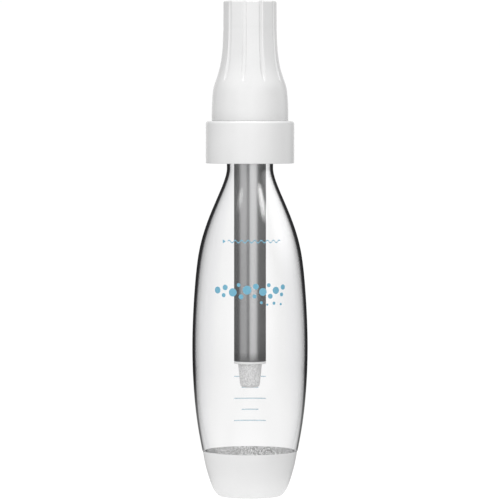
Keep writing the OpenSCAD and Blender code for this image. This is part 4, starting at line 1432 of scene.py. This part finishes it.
    def lamps(self, name: str, places: Lamps, pieces: Sequence[str]) -> None:
        """Soft boxes whose reflections show on some pieces only.

        Args:
            name: the name that the lamps share.
            places: the lamps.
            pieces: the names of the pieces that they light.
        """
        lit = bpy.data.collections.new(f"{name}_lit")
        for piece in pieces:
            lit.objects.link(bpy.data.objects[piece])
        for i, (azimuth, elevation, width, tall, watts) in enumerate(places):
            data = bpy.data.lights.new(f"{name}_{i}", "AREA")
            data.shape = "ELLIPSE"
            data.size = width
            data.size_y = tall
            data.energy = watts
            data.use_nodes = True
            self.soften(data.node_tree)
            lamp = bpy.data.objects.new(data.name, data)
            turn, tilt = math.radians(azimuth), math.radians(elevation)
            level = math.cos(tilt)
            away = Vector((math.sin(turn) * level, -math.cos(turn) * level, math.sin(tilt)))
            lamp.location = AXIS * self.lamp_target_z + away * self.lamp_distance
            lamp.rotation_euler = (-away).to_track_quat("-Z", "Y").to_euler()
            lamp.visible_camera = False
            lamp.visible_diffuse = False
            lamp.light_linking.receiver_collection = lit
            bpy.context.scene.collection.objects.link(lamp)

    def build(self) -> None:
        """Build the camera, the floor, the surroundings and the lamps, when the pieces are there."""
        self.camera()
        self.floor()
        self.world()
        self.lamps("bottle_lamp", self.bottle_lamps, self.bottle_pieces)
        self.lamps("shell_lamp", self.shell_lamps, self.shell_pieces)
        bpy.context.scene.view_settings.view_transform = "Standard"
        bpy.context.scene.cycles.transparent_max_bounces = 32


def main() -> None:
    """Build every piece and the studio, in order."""
    logging.basicConfig(level=logging.INFO, format="%(name)s: %(message)s")
    abs_shell = MouldedAbs().build()
    steel = TurnedMetal("bright_spring_steel", "C9CBCE").build()
    brass = TurnedMetal("turned_brass", "D9B765").build()
    nylon = MouldedNylon("core_nylon", "E6E7E7", "D6D8D8").build()
    black = MouldedRubber("black_nitrile", "2C2C2E", "1C1C1E").build()
    grey = MouldedRubber("grey_silicone", "A3A7AB", "8C9094").build()
    bronze = SinteredGrains("sintered_bronze", "B98A5A", "6E4B2B", grain_mm=0.3, depth_mm=0.05,
                            metallic=1.0)
    sleeve = SatinAluminium("turned_aluminium_sleeve", "D2D4D6", roughness=(0.26, 0.31), grain_mm=0.25,
                            stretch=(0.02, 0.02, 1))
    # grained, and partly painted shade: its grey grains stand for the shade inside the cup
    lining = SinteredGrains("grained_lining", "FAFAFA", "A3A3A3", grain_mm=0.76, depth_mm=0.05,
                            spread=0.06)
    porous = SinteredGrains("porous_polyethylene", "FFFFFF", "C8C8C8", grain_mm=0.76, depth_mm=0.03,
                            spread=0.12)
    bottle = Bottle()
    bottle.build()
    BaseCup().build(abs_shell, lining.build())
    Collar().build(abs_shell)
    Bell().build()
    GasTube().build(SatinAluminium("satin_anodised_tube", "CFCFD0").build(), abs_shell, porous.build())
    Prints(bottle).build(ScreenInk("pale_blue_ink", "7DBED7", "74B7D2", cover=0.9).build(),
                         ScreenInk("faint_blue_ink", "C4E1EE", "BBDCEB", cover=0.6).build())
    InnerParts({
        "head_core": nylon, "collar_nut": nylon, "neck_gasket": grey, "holder_pad": grey,
        "tube_o_rings": black, "plug_o_ring": black, "charger_seal": black, "relief_seal": black,
        "pin_carrier": brass, "check_seat": brass, "check_cage": brass, "relief_cap": brass,
        "relief_poppet": brass, "core_circlip": steel, "piercing_pin": steel, "check_ball": steel,
        "check_spring": steel, "relief_spring": steel, "charger_cap": steel, "gas_filter": bronze.build(),
        "thrust_washer": MouldedNylon("slippery_washer", "F3F3EE", "ECECE6").build(),
        "charger": ClearLacquer().build(), "holder_sleeve": sleeve.build(),
    }).build()
    Studio().build()


if __name__ == "__main__":
    main()
